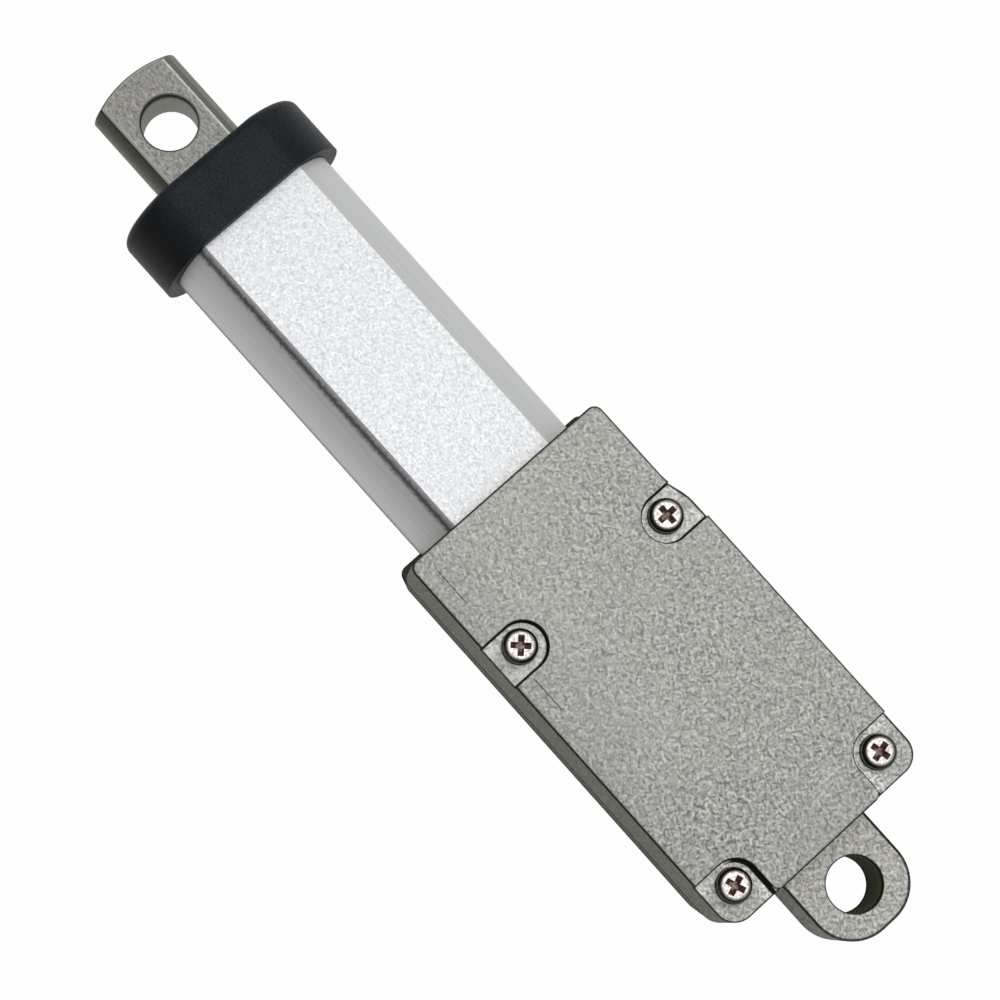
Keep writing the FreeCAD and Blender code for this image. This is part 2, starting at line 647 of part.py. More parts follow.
def gear_face(teeth, shift, turn):
    """Face of an involute gear in the YZ plane, with one tooth centred at the angle turn."""
    module = value("tooth_module")
    slope = math.radians(value("pressure_angle"))
    pitch = module * teeth / 2
    base = pitch * math.cos(slope)
    tip = pitch + module * (value("tooth_head") + shift)
    root = pitch - module * (value("tooth_foot") - shift)
    thickness = module * (math.pi / 2 + 2 * shift * math.tan(slope)) - value("tooth_play")
    start = max(base, root)

    def involute(angle):
        return math.tan(angle) - angle

    def half_angle(radius):
        return thickness / (2 * pitch) + involute(slope) - involute(math.acos(min(base / radius, 1)))

    def point(radius, angle):
        return FreeCAD.Vector(0, radius * math.cos(angle), radius * math.sin(angle))

    def line(*places):
        return Part.LineSegment(*(point(*spot) for spot in places)).toShape()

    def arc(*places):
        return Part.Arc(*(point(*spot) for spot in places)).toShape()

    step = 2 * math.pi / teeth
    middle = (start + tip) / 2
    floor = min(root, start)
    edges = []
    for number in range(teeth):
        centre = turn + number * step
        flank = [(radius, half_angle(radius)) for radius in (start, middle, tip)]
        rising = [(radius, centre - half) for radius, half in flank]
        falling = [(radius, centre + half) for radius, half in reversed(flank)]
        foot = half_angle(start)
        if root < base:
            edges.append(line((root, centre - foot), rising[0]))
        edges.append(arc(*rising))
        edges.append(line(rising[-1], falling[0]))
        edges.append(arc(*falling))
        if root < base:
            edges.append(line(falling[-1], (root, centre + foot)))
        edges.append(line((floor, centre + foot), (floor, centre + step - foot)))
    return Part.Face(Part.Wire(edges))


def mesh_turn(turn, teeth, mate_teeth, bearing):
    """Angle of a tooth on the mate, so that it meshes with a gear whose tooth is at turn.

    bearing is the direction from the gear's centre to the mate's.
    """
    return bearing + math.pi + math.pi / mate_teeth - (turn - bearing) * teeth / mate_teeth


def gear_train():
    """Motor pinion, two compound idlers and the output gear, in mesh along a triangle of three axes."""
    pinion = int(value("pinion_teeth"))
    wheel = int(value("wheel_teeth"))
    shift = value("tooth_shift")
    distance = value("tooth_module * (pinion_teeth + wheel_teeth) / 2")
    rise = math.radians(value("idler_angle"))
    place_a = FreeCAD.Vector(0, distance * math.cos(rise), distance * math.sin(rise))
    place_b = FreeCAD.Vector(0, place_a.y, -place_a.z)

    turn_motor = 0.0
    turn_wheel_a = mesh_turn(turn_motor, pinion, wheel, rise)
    turn_pinion_a = turn_wheel_a
    turn_wheel_b = mesh_turn(turn_pinion_a, pinion, wheel, -math.pi / 2)
    turn_pinion_b = turn_wheel_b
    turn_output = mesh_turn(turn_pinion_b, pinion, wheel, math.pi - rise)

    def slab(teeth, sign, turn, rear, front):
        face = gear_face(teeth, sign * shift, turn)
        face.translate(FreeCAD.Vector(value(rear), 0, 0))
        return face.extrude(FreeCAD.Vector(value(front) - value(rear), 0, 0))

    def gear(name, slabs, bore, where):
        solid = slabs[0]
        for other in slabs[1:]:
            solid = solid.fuse(other)
        bar = Part.makeCylinder(value(bore), value("case_front"), FreeCAD.Vector(), FreeCAD.Vector(1, 0, 0))
        feature = doc.addObject("Part::Feature", name)
        feature.Shape = solid.cut(bar)
        feature.Placement = FreeCAD.Placement(where, FreeCAD.Rotation())
        keep(feature, name)

    centre = FreeCAD.Vector()
    gear("motor_pinion", [
        slab(pinion, 1, turn_motor, "first_rear", "first_front"),
    ], "shaft + fit", centre)
    gear("idler_gear_a", [
        slab(wheel, -1, turn_wheel_a, "first_rear", "first_front"),
        slab(pinion, 1, turn_pinion_a, "first_front", "second_front"),
    ], "pin + run", place_a)
    gear("idler_gear_b", [
        slab(wheel, -1, turn_wheel_b, "second_rear", "second_front"),
        slab(pinion, 1, turn_pinion_b, "second_front", "third_front"),
    ], "pin + run", place_b)
    gear("output_gear", [
        slab(wheel, -1, turn_output, "third_rear", "third_front"),
    ], "journal + fit", centre)


def gear_plates():
    """Two plates across the gear train and the pins that the idlers turn on."""
    spacing = "tooth_module * (pinion_teeth + wheel_teeth) / 2"
    pin_y = f"{spacing} * cos(idler_angle)"
    pin_z = f"{spacing} * sin(idler_angle)"
    plates = [
        ("rear", "motor_front", "plate_thick", "plate_half", "room_height", "bush + fit"),
        ("front", "neck_front - bridge_thick", "bridge_thick", "neck_half", "tail_height", "bridge_hole"),
    ]
    for end, rear, thick, half, height, hole in plates:
        name = f"gear_plate_{end}"
        body = new_body(name)
        corners = box_corners(f"-{half}", half, f"-{height}", height)
        sketch = outline(new_sketch(body, "YZ_Plane", rear), corners)
        ring(sketch, hole)
        for sign in ("", "-"):
            ring(sketch, "pin + fit", pin_y, f"{sign}({pin_z})")
        pad(body, sketch, thick)
        keep(body, name)
    pins = []
    for name, sign in (("a", ""), ("b", "-")):
        pin = doc.addObject("Part::Cylinder", f"gear_pin_{name}")
        bind(pin, Radius="pin", Height="neck_front - motor_front")
        pins.append(place(pin, "motor_front", pin_y, f"{sign}({pin_z})", turn=FORWARD))
    group("gear_pins", pins)


def flat_circle(sketch, radius, flat):
    """A circle with a flat above and below."""
    edge = f"sqrt(({radius})^2 - ({flat})^2)"
    corners = [(f"-{edge}", f"-({flat})"), (edge, f"-({flat})"), (edge, flat), (f"-{edge}", flat)]
    return outline(sketch, corners, {1: radius, 3: radius})


def motor():
    """Flat-sided brushed motor: can, magnets, end bell, terminals, bushes and the rotor."""
    can = new_body("motor_can")
    length = "motor_front - can_rear"
    pad(can, flat_circle(new_sketch(can, "YZ_Plane", "can_rear"), "can", "room_height"), length)
    inside = flat_circle(new_sketch(can, "YZ_Plane", "can_rear"), "can - can_wall", "room_height - can_wall")
    cut(can, inside, f"{length} - can_wall", along=True)
    cut(can, ring(new_sketch(can, "YZ_Plane", "can_rear"), "bush + fit"), length, along=True)
    keep(can, "motor_can")

    mouth = "room_height - can_wall - fit"
    bell = [
        ("bell_rear", "bush + fit"), ("can_rear + bell_plug", "bush + fit"), ("can_rear + bell_plug", mouth),
        ("room_rear + fit", mouth), ("room_rear + fit", "tail_height"), ("bell_rear", "tail_height"),
    ]
    keep(turned("motor_end_bell", bell), "motor_end_bell")

    bushes = []
    for name, rear in (("front", "bush_front_end - bush_length"), ("rear", "bell_rear")):
        bushes.append(sleeve(f"motor_bush_{name}", rear, f"{rear} + bush_length", "shaft + run", "bush"))
    group("motor_bushes", bushes)

    magnets = []
    outer = "can - can_wall - fit"
    reach = [f"{radius} * cos(magnet_spread)" for radius in ("magnet_inner", f"({outer})")]
    rise = [f"{radius} * sin(magnet_spread)" for radius in ("magnet_inner", f"({outer})")]
    for name, sign in (("left", ""), ("right", "-")):
        body = new_body(f"motor_magnet_{name}")
        corners = [
            (f"{sign}({reach[0]})", f"-({rise[0]})"), (f"{sign}({reach[1]})", f"-({rise[1]})"),
            (f"{sign}({reach[1]})", rise[1]), (f"{sign}({reach[0]})", rise[0]),
        ]
        arcs = {1: sign + f"({outer})", 3: ("-" if sign == "" else "") + "magnet_inner"}
        section = outline(new_sketch(body, "YZ_Plane", "magnet_rear"), corners, arcs)
        pad(body, section, "magnet_front - magnet_rear")
        magnets.append(body)
    group("motor_magnets", magnets)

    tabs = []
    for name, sign in (("left", ""), ("right", "-")):
        tab = doc.addObject("Part::Box", f"motor_terminal_{name}")
        bind(tab, Length="bell_rear - tab_rear", Width="tab_thick", Height="tab_width")
        tabs.append(place(tab, "tab_rear", f"{sign}tab_side - tab_thick / 2", "-tab_width / 2"))
    group("motor_terminals", tabs)

    keep(turned("motor_shaft", box_corners("bell_rear + fit", "shaft_front", "0", "shaft")), "motor_shaft")
    copper = sleeve("motor_commutator", "commutator_rear", "commutator_front", "shaft + fit", "commutator")
    keep(copper, "motor_commutator")
    armature()


def armature():
    """Laminated armature: a hub with T-shaped poles round it."""
    body = new_body("motor_armature")
    length = "armature_front - armature_rear"
    rim = "sqrt(armature^2 - pole_half^2)"
    pole = [
        ("0", "-pole_neck"), ("pole_shoe", "-pole_neck"), (f"{rim} - pole_neck", "-pole_half"),
        (rim, "-pole_half"), (rim, "pole_half"), (f"{rim} - pole_neck", "pole_half"),
        ("pole_shoe", "pole_neck"), ("0", "pole_neck"),
    ]
    first = pad(body, outline(new_sketch(body, "YZ_Plane", "armature_rear"), pole, {3: "armature"}), length)
    doc.recompute()
    poles = body.newObject("PartDesign::PolarPattern", "motor_armature_poles")
    poles.Originals = [first]
    poles.Axis = (next(f for f in body.Origin.OriginFeatures if f.Role == "X_Axis"), [""])
    poles.Angle = FULL_TURN
    bind(poles, Occurrences="pole_count")
    body.Tip = poles
    pad(body, ring(new_sketch(body, "YZ_Plane", "armature_rear"), "hub"), length)
    cut(body, ring(new_sketch(body, "YZ_Plane", "armature_rear"), "shaft + fit"), length, along=True)
    keep(body, "motor_armature")


def limit_switches():
    """Board along the inside of the tube, with a switch near each end of the nut's travel."""
    board = doc.addObject("Part::Box", "limit_switch_board")
    thickness = "board_outer - board_inner"
    bind(board, Length="board_front - board_rear", Width=thickness, Height="2 * board_half")
    keep(place(board, "board_rear", "board_inner", "-board_half"), "limit_switch_board")
    switches = []
    for name in ("switch_low", "switch_high"):
        switch = doc.addObject("Part::Box", name)
        bind(switch, Length="switch_length", Width="board_inner - switch_inner", Height="2 * switch_half")
        switches.append(place(switch, name, "switch_inner", "-switch_half"))
    group("limit_switches", switches)


def wire_grommet():
    """Rubber sleeve in the housing's -Y wall, where the wires enter."""
    body = sleeve("wire_grommet", "0", "inlet_depth", "inlet_bore", "inlet - fit")
    keep(place(body, "inlet_x", "inlet_depth - inlet_face", "inlet_z", turn=SIDEWAYS), "wire_grommet")


def check_and_write():
    """Stops on any failed object, then writes each sub-part to its own file."""
    doc.recompute()
    failed = [item.Name for item in doc.Objects if {"Invalid", "Error"} & set(item.State)]
    if failed:
        raise ValueError(f"failed objects: {failed}")
    for name, item in nodes.items():
        if item.Shape.isNull() or not item.Shape.isValid():
            raise ValueError(f"{name} has no valid shape")
    os.makedirs("parts", exist_ok=True)
    for name, item in nodes.items():
        item.Shape.exportStep(f"parts/{name}.step")
        box = item.Shape.BoundBox
        print(f"{name}: {len(item.Shape.Solids)} solids, {item.Shape.Volume:.2f} mm3, "
              f"X {box.XMin:.2f} to {box.XMax:.2f}, Y {box.YMin:.2f} to {box.YMax:.2f}, "
              f"Z {box.ZMin:.2f} to {box.ZMax:.2f}")


gearbox_housing()
gearbox_cover()
cover_screws()
tube_and_cap()
push_rod()
lead_nut()
lead_screw()
screw_bearing()
gear_train()
gear_plates()
motor()
limit_switches()
wire_grommet()
check_and_write()
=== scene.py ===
# %% [markdown]
# # Electric linear actuator, dressed for its picture
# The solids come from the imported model, at their real size and place. This lesson adds what the
# solids leave out: the finish of every surface, the cross recesses of the screws, the lead screw's
# thread, the motor's windings, the camera and the light. One unit in Blender is a metre, so sizes
# are written in millimetres times MM.

# %% Load the frame
import math

import bpy
from mathutils import Matrix, Vector


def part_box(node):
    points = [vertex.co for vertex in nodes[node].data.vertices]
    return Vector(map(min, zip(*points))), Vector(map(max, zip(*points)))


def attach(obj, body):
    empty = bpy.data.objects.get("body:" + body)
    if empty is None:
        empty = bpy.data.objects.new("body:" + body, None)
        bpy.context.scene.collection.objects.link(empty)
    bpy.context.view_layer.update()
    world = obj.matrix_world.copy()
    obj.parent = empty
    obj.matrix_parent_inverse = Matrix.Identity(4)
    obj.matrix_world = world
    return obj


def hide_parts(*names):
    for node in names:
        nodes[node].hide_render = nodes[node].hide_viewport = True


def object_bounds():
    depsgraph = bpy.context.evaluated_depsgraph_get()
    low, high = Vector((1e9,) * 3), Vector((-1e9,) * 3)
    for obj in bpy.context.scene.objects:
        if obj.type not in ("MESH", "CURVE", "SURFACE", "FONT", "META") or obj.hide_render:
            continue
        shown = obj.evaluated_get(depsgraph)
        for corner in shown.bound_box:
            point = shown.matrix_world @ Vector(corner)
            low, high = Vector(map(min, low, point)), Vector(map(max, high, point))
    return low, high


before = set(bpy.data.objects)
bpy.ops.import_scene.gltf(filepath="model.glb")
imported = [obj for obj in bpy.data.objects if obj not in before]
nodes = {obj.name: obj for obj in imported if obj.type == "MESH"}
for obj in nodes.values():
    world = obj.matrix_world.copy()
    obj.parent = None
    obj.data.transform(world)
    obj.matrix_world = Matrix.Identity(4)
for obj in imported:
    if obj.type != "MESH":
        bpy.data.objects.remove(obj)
cad_box = [list(corner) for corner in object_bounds()]
MM = 0.001

# %% [markdown]
# ## Camera
# The photograph looks down on the actuator from a little to one side, with a long lens and the rod
# pointing up and to the left. Blender's camera looks along its own -Z with its own +Y upwards, so
# its turn is built from two directions: the one it looks along, and the one that is up in the picture.

# %% Place the camera
CAMERA_AT = Vector((26.141, 29.38, 191.618)) * MM
LOOKS_AT = Vector((35.97, 0.077, 0.0)) * MM
UP_IN_PICTURE = Vector((0.74351, -0.6543, 0.13819))
LENS = 99.667
SENSOR = 36.0
NEAREST_SEEN = 5 * MM

looks_along = (LOOKS_AT - CAMERA_AT).normalized()
picture_right = looks_along.cross(UP_IN_PICTURE).normalized()
picture_up = picture_right.cross(looks_along)
camera_data = bpy.data.cameras.new("camera")
camera_data.lens = LENS
camera_data.sensor_width = SENSOR
camera_data.clip_start = NEAREST_SEEN
camera = bpy.data.objects.new("camera", camera_data)
turn = Matrix((picture_right, picture_up, -looks_along)).transposed()
camera.matrix_world = Matrix.Translation(CAMERA_AT) @ turn.to_4x4()
bpy.context.scene.collection.objects.link(camera)
bpy.context.scene.camera = camera
bpy.context.scene.view_settings.view_transform = "Standard"
print("camera:", round((LOOKS_AT - CAMERA_AT).length / MM), "mm away, lens", LENS)

# %% [markdown]
# ## Building with shader nodes in code
# A material is a graph of nodes. It can be drawn by hand in the shader editor, but in code the same graph
# can be used again with other values. A few small helpers keep it readable: `add` makes a node and
# feeds its sockets, `calc` does one sum, `remap` stretches a range of values onto another, and `mix`
# blends two colours.

# %% Node helpers
def feed(tree, source, socket):
    """Links another node's output to a socket, or writes a plain value into it."""
    if isinstance(source, bpy.types.NodeSocket):
        tree.links.new(source, socket)
    else:
        socket.default_value = source


def add(tree, kind, inputs=None, **settings):
    """Adds a shader node; inputs maps a socket's name or number to a value or an output."""
    made = tree.nodes.new("ShaderNode" + kind)
    for name, setting in settings.items():
        setattr(made, name, setting)
    for name, source in (inputs or {}).items():
        feed(tree, source, made.inputs[name])
    return made


def calc(tree, operation, *values):
    """One sum of one to three values."""
    return add(tree, "Math", dict(enumerate(values)), operation=operation).outputs[0]


def remap(tree, value, low, high, to_low=0.0, to_high=1.0):
    """Stretches low..high onto to_low..to_high, and holds what is outside at its ends."""
    inputs = {0: value, 1: low, 2: high, 3: to_low, 4: to_high}
    return add(tree, "MapRange", inputs).outputs[0]


def mix(tree, factor, first, second, blend_type="MIX"):
    """Mixes two colours by a factor."""
    made = add(tree, "Mix", {0: factor, 6: first, 7: second}, data_type="RGBA", blend_type=blend_type)
    return made.outputs[2]


def split(tree, vector):
    """A place or a direction, taken apart into X, Y and Z."""
    return add(tree, "SeparateXYZ", {0: vector}).outputs


def colour(red, green, blue):
    """A colour as read from a picture, 0 to 255, as the linear values that shaders use."""
    def linear(level):
        share = level / 255
        return share / 12.92 if share <= 0.04045 else ((share + 0.055) / 1.055) ** 2.4
    return (linear(red), linear(green), linear(blue), 1.0)


print("node helpers ready; middle grey is", round(colour(128, 128, 128)[0], 3))

# %% [markdown]
# ## Light
# A small product is photographed on white paper under broad, soft light from above. A wide lamp over the
# table lights what faces up, and a dim sky with a darker horizon keeps some light on the sides.
# The background shader starts out dark grey, so its colour is made white before its strength counts.

# %% Sky
SKY_OVERHEAD = 0.56
SKY_HORIZON = 0.24
SKY_LEAN = 0.22
SKY_RISES = (-0.1, 0.9)

world = bpy.data.worlds.new("studio")
world.use_nodes = True
bpy.context.scene.world = world
sky = world.node_tree
heading = split(sky, add(sky, "TexCoord").outputs["Generated"])
height = calc(sky, "MULTIPLY_ADD", heading["Y"], -SKY_LEAN, heading["Z"])
background = sky.nodes["Background"].inputs
background["Color"].default_value = (1.0, 1.0, 1.0, 1.0)
feed(sky, remap(sky, height, *SKY_RISES, SKY_HORIZON, SKY_OVERHEAD), background["Strength"])
print("sky:", SKY_HORIZON, "at the horizon to", SKY_OVERHEAD, "overhead")

# %% Lamp
LAMP_AT = Vector((0.04, -0.06, 0.60))
LAMP_WIDTH = 0.5
LAMP_POWER = 1.25

lamp_data = bpy.data.lights.new("soft_lamp", "AREA")
lamp_data.shape = "DISK"
lamp_data.size = LAMP_WIDTH
lamp_data.energy = LAMP_POWER
lamp = bpy.data.objects.new("soft_lamp", lamp_data)
lamp.matrix_world = Matrix.Translation(LAMP_AT) @ LAMP_AT.to_track_quat("Z", "Y").to_matrix().to_4x4()
bpy.context.scene.collection.objects.link(lamp)
print("lamp:", LAMP_POWER, "watts from a disk", LAMP_WIDTH, "m wide")

# %% [markdown]
# ## Floor
# The floor is pale paper. To the camera, and in metal, it shows as white, because Light Path tells its
# material which ray is asking; a share of its own shading stays in, and that share holds the shadow.

# %% Floor
FLOOR_WIDTH = 12.0
FLOOR_PALE = (0.46, 0.46, 0.46, 1.0)
FLOOR_WHITE = 0.98

bpy.ops.object.select_all(action="DESELECT")
bpy.ops.mesh.primitive_plane_add(size=FLOOR_WIDTH, location=(0, 0, cad_box[0][2]))
floor = bpy.context.object
floor.name = "floor"
ground = bpy.data.materials.new("floor")
ground.use_nodes = True
tree = ground.node_tree
ray = add(tree, "LightPath").outputs
looked_at = calc(tree, "MAXIMUM", ray["Is Camera Ray"], ray["Is Glossy Ray"])
looked_at = calc(tree, "MAXIMUM", looked_at, ray["Is Transmission Ray"])
pale = add(tree, "BsdfDiffuse", {"Color": FLOOR_PALE}).outputs[0]
white = add(tree, "Emission", {"Strength": 1.0}).outputs[0]
shown = add(tree, "MixShader", {0: calc(tree, "MULTIPLY", looked_at, FLOOR_WHITE), 1: pale, 2: white})
feed(tree, shown.outputs[0], tree.nodes["Material Output"].inputs["Surface"])
floor.data.materials.append(ground)
print("floor at", round(cad_box[0][2] / MM, 2), "mm")

# %% [markdown]
# ## Shared surface effects
# Castings, drawn tube, turned steel and moulded plastic share a few effects at different sizes: grain,
# cloudy tone, lines left by a tool, and a change along the edges. Each is one node group that
# reads a point in metres and a size in millimetres, so a material only chooses the values.

# %% Group helpers
def new_group(name, given, results):
    """An empty node group with named sockets; returns it with its inside inputs and outputs."""
    group = bpy.data.node_groups.new(name, "ShaderNodeTree")
    for label in given:
        kind = "NodeSocketVector" if label == "Vector" else "NodeSocketFloat"
        group.interface.new_socket(name=label, in_out="INPUT", socket_type=kind)
    for label in results:
        group.interface.new_socket(name=label, in_out="OUTPUT", socket_type="NodeSocketFloat")
    inside = group.nodes.new("NodeGroupInput").outputs
    outside = group.nodes.new("NodeGroupOutput").inputs
    return group, inside, outside


def use(tree, group, **values):
    """Places a node group in a material with its own values and returns its outputs."""
    placed = tree.nodes.new("ShaderNodeGroup")
    placed.node_tree = group
    for label, source in values.items():
        feed(tree, source, placed.inputs[label])
    return placed.outputs


def in_sizes(tree, vector, size):
    """Counts a point's place in steps of a size given in millimetres."""
    steps = calc(tree, "DIVIDE", 1 / MM, size)
    return add(tree, "VectorMath", {0: vector, "Scale": steps}, operation="SCALE").outputs[0]


def noise(tree, vector, detail, roughness=0.5, distortion=0.0):
    """Soft random values about 0.5 that change over one step of the vector."""
    inputs = {"Vector": vector, "Scale": 1.0, "Detail": detail}
    inputs.update({"Roughness": roughness, "Distortion": distortion})
    return add(tree, "TexNoise", inputs).outputs[0]


print("group helpers ready; a size of 0.5 mm makes", round(1 / (0.5 * MM)), "steps in a metre")

# %% [markdown]
# ## Grain
# Tumbled castings and blasted metal have a fine, worm-like relief, and each ridge has a light and a dark
# side. A bump alone is too faint at this size. So two noises are compared with themselves a short way
# on, as light from one side compares a slope's near and far end, and the difference becomes a tone.

# %% Cast grain
GRAIN_LIGHTS = {(0.0, 0.0, 0.0): (0.33, 0.10, 0.12), (7.3, 1.9, 4.1): (-0.10, 0.33, 0.12)}
GRAIN_REACH = 0.40
GRAIN_DETAIL, GRAIN_TWIST = 0.5, 1.0

cast_grain, inside, outside = new_group("cast_grain", ["Vector", "Size"], ["Tone", "Height"])
spot = in_sizes(cast_grain, inside["Vector"], inside["Size"])
relief = 0.0
for start, light in GRAIN_LIGHTS.items():
    near = add(cast_grain, "VectorMath", {0: spot, 1: start}, operation="ADD").outputs[0]
    far = add(cast_grain, "VectorMath", {0: near, 1: light}, operation="ADD").outputs[0]
    here, there = (noise(cast_grain, at, GRAIN_DETAIL, distortion=GRAIN_TWIST) for at in (near, far))
    relief = calc(cast_grain, "ADD", relief, calc(cast_grain, "SUBTRACT", here, there))
feed(cast_grain, remap(cast_grain, relief, -GRAIN_REACH, GRAIN_REACH), outside["Tone"])
feed(cast_grain, here, outside["Height"])
print("cast grain:", len(cast_grain.nodes), "nodes")

# %% [markdown]
# ## Clouds and tool lines
# Handling leaves large soft clouds on a surface, and a tool or a die leaves fine lines. Both are the same
# noise. Clouds come from a large size, and lines from a point that a material squeezes along one
# axis first, which draws the pattern out that way.

# %% Clouds and tool lines
def tone_group(name, detail, roughness, low, high):
    """A group whose tone runs from 0 to 1 between two values of a noise."""
    group, inside, outside = new_group(name, ["Vector", "Size"], ["Tone"])
    spot = in_sizes(group, inside["Vector"], inside["Size"])
    feed(group, remap(group, noise(group, spot, detail, roughness), low, high), outside["Tone"])
    return group


cloudy = tone_group("cloudy", detail=2.0, roughness=0.5, low=0.3, high=0.7)
tool_lines = tone_group("tool_lines", detail=3.0, roughness=0.6, low=0.25, high=0.75)
print("tones:", cloudy.name, "and", tool_lines.name)

# %% [markdown]
# ## Edges
# Shade gathers along edges, and the dark lines there are painted shade. A Bevel node gives the normal
# that a rounded edge would have, and where it departs from the true normal, an edge is near. That needs no
# extra geometry.

# %% Edges
EDGE_SAMPLES = 12
EDGE_AGREES = (0.99, 0.87)

edge_line, inside, outside = new_group("edge_line", ["Radius"], ["Mask"])
softened = add(edge_line, "Bevel", {"Radius": inside["Radius"]}, samples=EDGE_SAMPLES).outputs[0]
true_normal = add(edge_line, "NewGeometry").outputs["Normal"]
compared = add(edge_line, "VectorMath", {0: softened, 1: true_normal}, operation="DOT_PRODUCT")
feed(edge_line, remap(edge_line, compared.outputs["Value"], *EDGE_AGREES), outside["Mask"])
print("groups:", [group.name for group in bpy.data.node_groups])

# %% [markdown]
# ## Materials
# Each finish is a short function. It starts from a Principled shader with its constants written on the
# shader's own sockets, then feeds colour, roughness and a bump from the groups above.

# %% Material helpers
def new_finish(name, **constants):
    """A material with its constants set; returns it, its tree, its shader and the point being shaded."""
    made = bpy.data.materials.new(name)
    made.use_nodes = True
    tree = made.node_tree
    shader = tree.nodes["Principled BSDF"]
    for label, value in constants.items():
        shader.inputs[label.replace("_", " ")].default_value = value
    return made, tree, shader.inputs, add(tree, "TexCoord").outputs


def raise_by(tree, shader, height, depth, strength):
    """Bumps a surface by a height of 0 to 1 that stands for depth in millimetres."""
    inputs = {"Height": height, "Distance": depth * MM, "Strength": strength}
    feed(tree, add(tree, "Bump", inputs).outputs[0], shader["Normal"])


def stretched(tree, vector, x=1.0, y=1.0, z=1.0):
    """Scales a point by axis, so that a pattern is drawn out along the small ones."""
    return add(tree, "VectorMath", {0: vector, 1: (x, y, z)}, operation="MULTIPLY").outputs[0]


print("material helpers ready")

# %% [markdown]
# ## Masks
# A mask is 1 where a mark shows and 0 elsewhere. It could be painted, but the model is drawn to size, so
# the place of every mark is known: a mask is worked out from a point's place in millimetres and from
# the way the surface faces, and it then holds from every side.

# %% Masks
def both(tree, *masks):
    """1 where every mask is 1; a plain number among them makes the result weaker."""
    made = masks[0]
    for mask in masks[1:]:
        made = calc(tree, "MULTIPLY", made, mask)
    return made


def band(tree, value, low, high, soft):
    """1 where a value lies between two others, with soft ends outside them."""
    rises = remap(tree, value, low - soft, low)
    falls = remap(tree, value, high, high + soft, 1.0, 0.0)
    return both(tree, rises, falls)


def between(tree, length, low, high, soft):
    """The same for a length, with the limits in millimetres."""
    return band(tree, length, low * MM, high * MM, soft * MM)


def ramp(tree, length, low, high, to_low=0.0, to_high=1.0):
    """Remaps a length, with the limits in millimetres."""
    return remap(tree, length, low * MM, high * MM, to_low, to_high)


def patch(tree, place, x_low, x_high, y_low, y_high, soft):
    """1 inside a rectangle seen from above, in millimetres."""
    along = between(tree, place["X"], x_low, x_high, soft)
    return both(tree, along, between(tree, place["Y"], y_low, y_high, soft))


print("masks ready")

# %% Distances and slopes
def unsigned(tree, value):
    """A value without its sign, so that both sides count alike."""
    return calc(tree, "ABSOLUTE", value)


def reach(tree, place, x, y, along=None, across=None):
    """Distance from an upright axis at X, and at Y on either side of the middle.

    MAXIMUM or MINIMUM for a direction counts only what lies past the axis, or only what lies short of
    it. So a ring becomes the outline of a slot with a round end, or of a rounded corner.
    """
    by_x = calc(tree, "SUBTRACT", place["X"], x * MM)
    by_y = calc(tree, "SUBTRACT", unsigned(tree, place["Y"]), y * MM)
    if along:
        by_x = calc(tree, along, by_x, 0.0)
    if across:
        by_y = calc(tree, across, by_y, 0.0)
    return calc(tree, "SQRT", calc(tree, "MULTIPLY_ADD", by_x, by_x, both(tree, by_y, by_y)))


def bearings(tree, point):
    """How level the surface is, 0 on a wall to 1 on a face, and its place on the three axes."""
    return unsigned(tree, split(tree, point["Normal"])["Z"]), split(tree, point["Object"])


print("distances and slopes ready")

# %% [markdown]
# ## Cast alloy
# The two halves of the gearbox are die cast and tumbled. Tumbling gives the faces their grain and leaves
# the walls dull, and dirt stays in the joint between the halves. Painted shade darkens the walls a little,
# more towards the foot, and along the edges. The faces turn lighter towards the front and darker towards
# the left edge.
# The two could have a material each, but they share one recipe, to which each half brings its own marks.

# %% Cast alloy
CAST_GRAIN, CAST_CLOUD, CAST_WEAR, CAST_EDGE = 0.38, 2.4, 8.0, 0.20
CAST_LEVEL, CAST_RIM = (0.72, 0.95), (0.14, 0.82, 0.08)
LIGHTER_TO_FRONT, DARKER_TO_LEFT = (4, 36), (5, 8.5)
FOOT_SHADE, JOINT = (-0.5, -6.5), (-0.3, 0.1, 0.1)
EYE_ROOT = (3.3, 3.5)
WALL_ROUGHNESS, FACE_ROUGHNESS = 0.92, (0.64, 0.52)


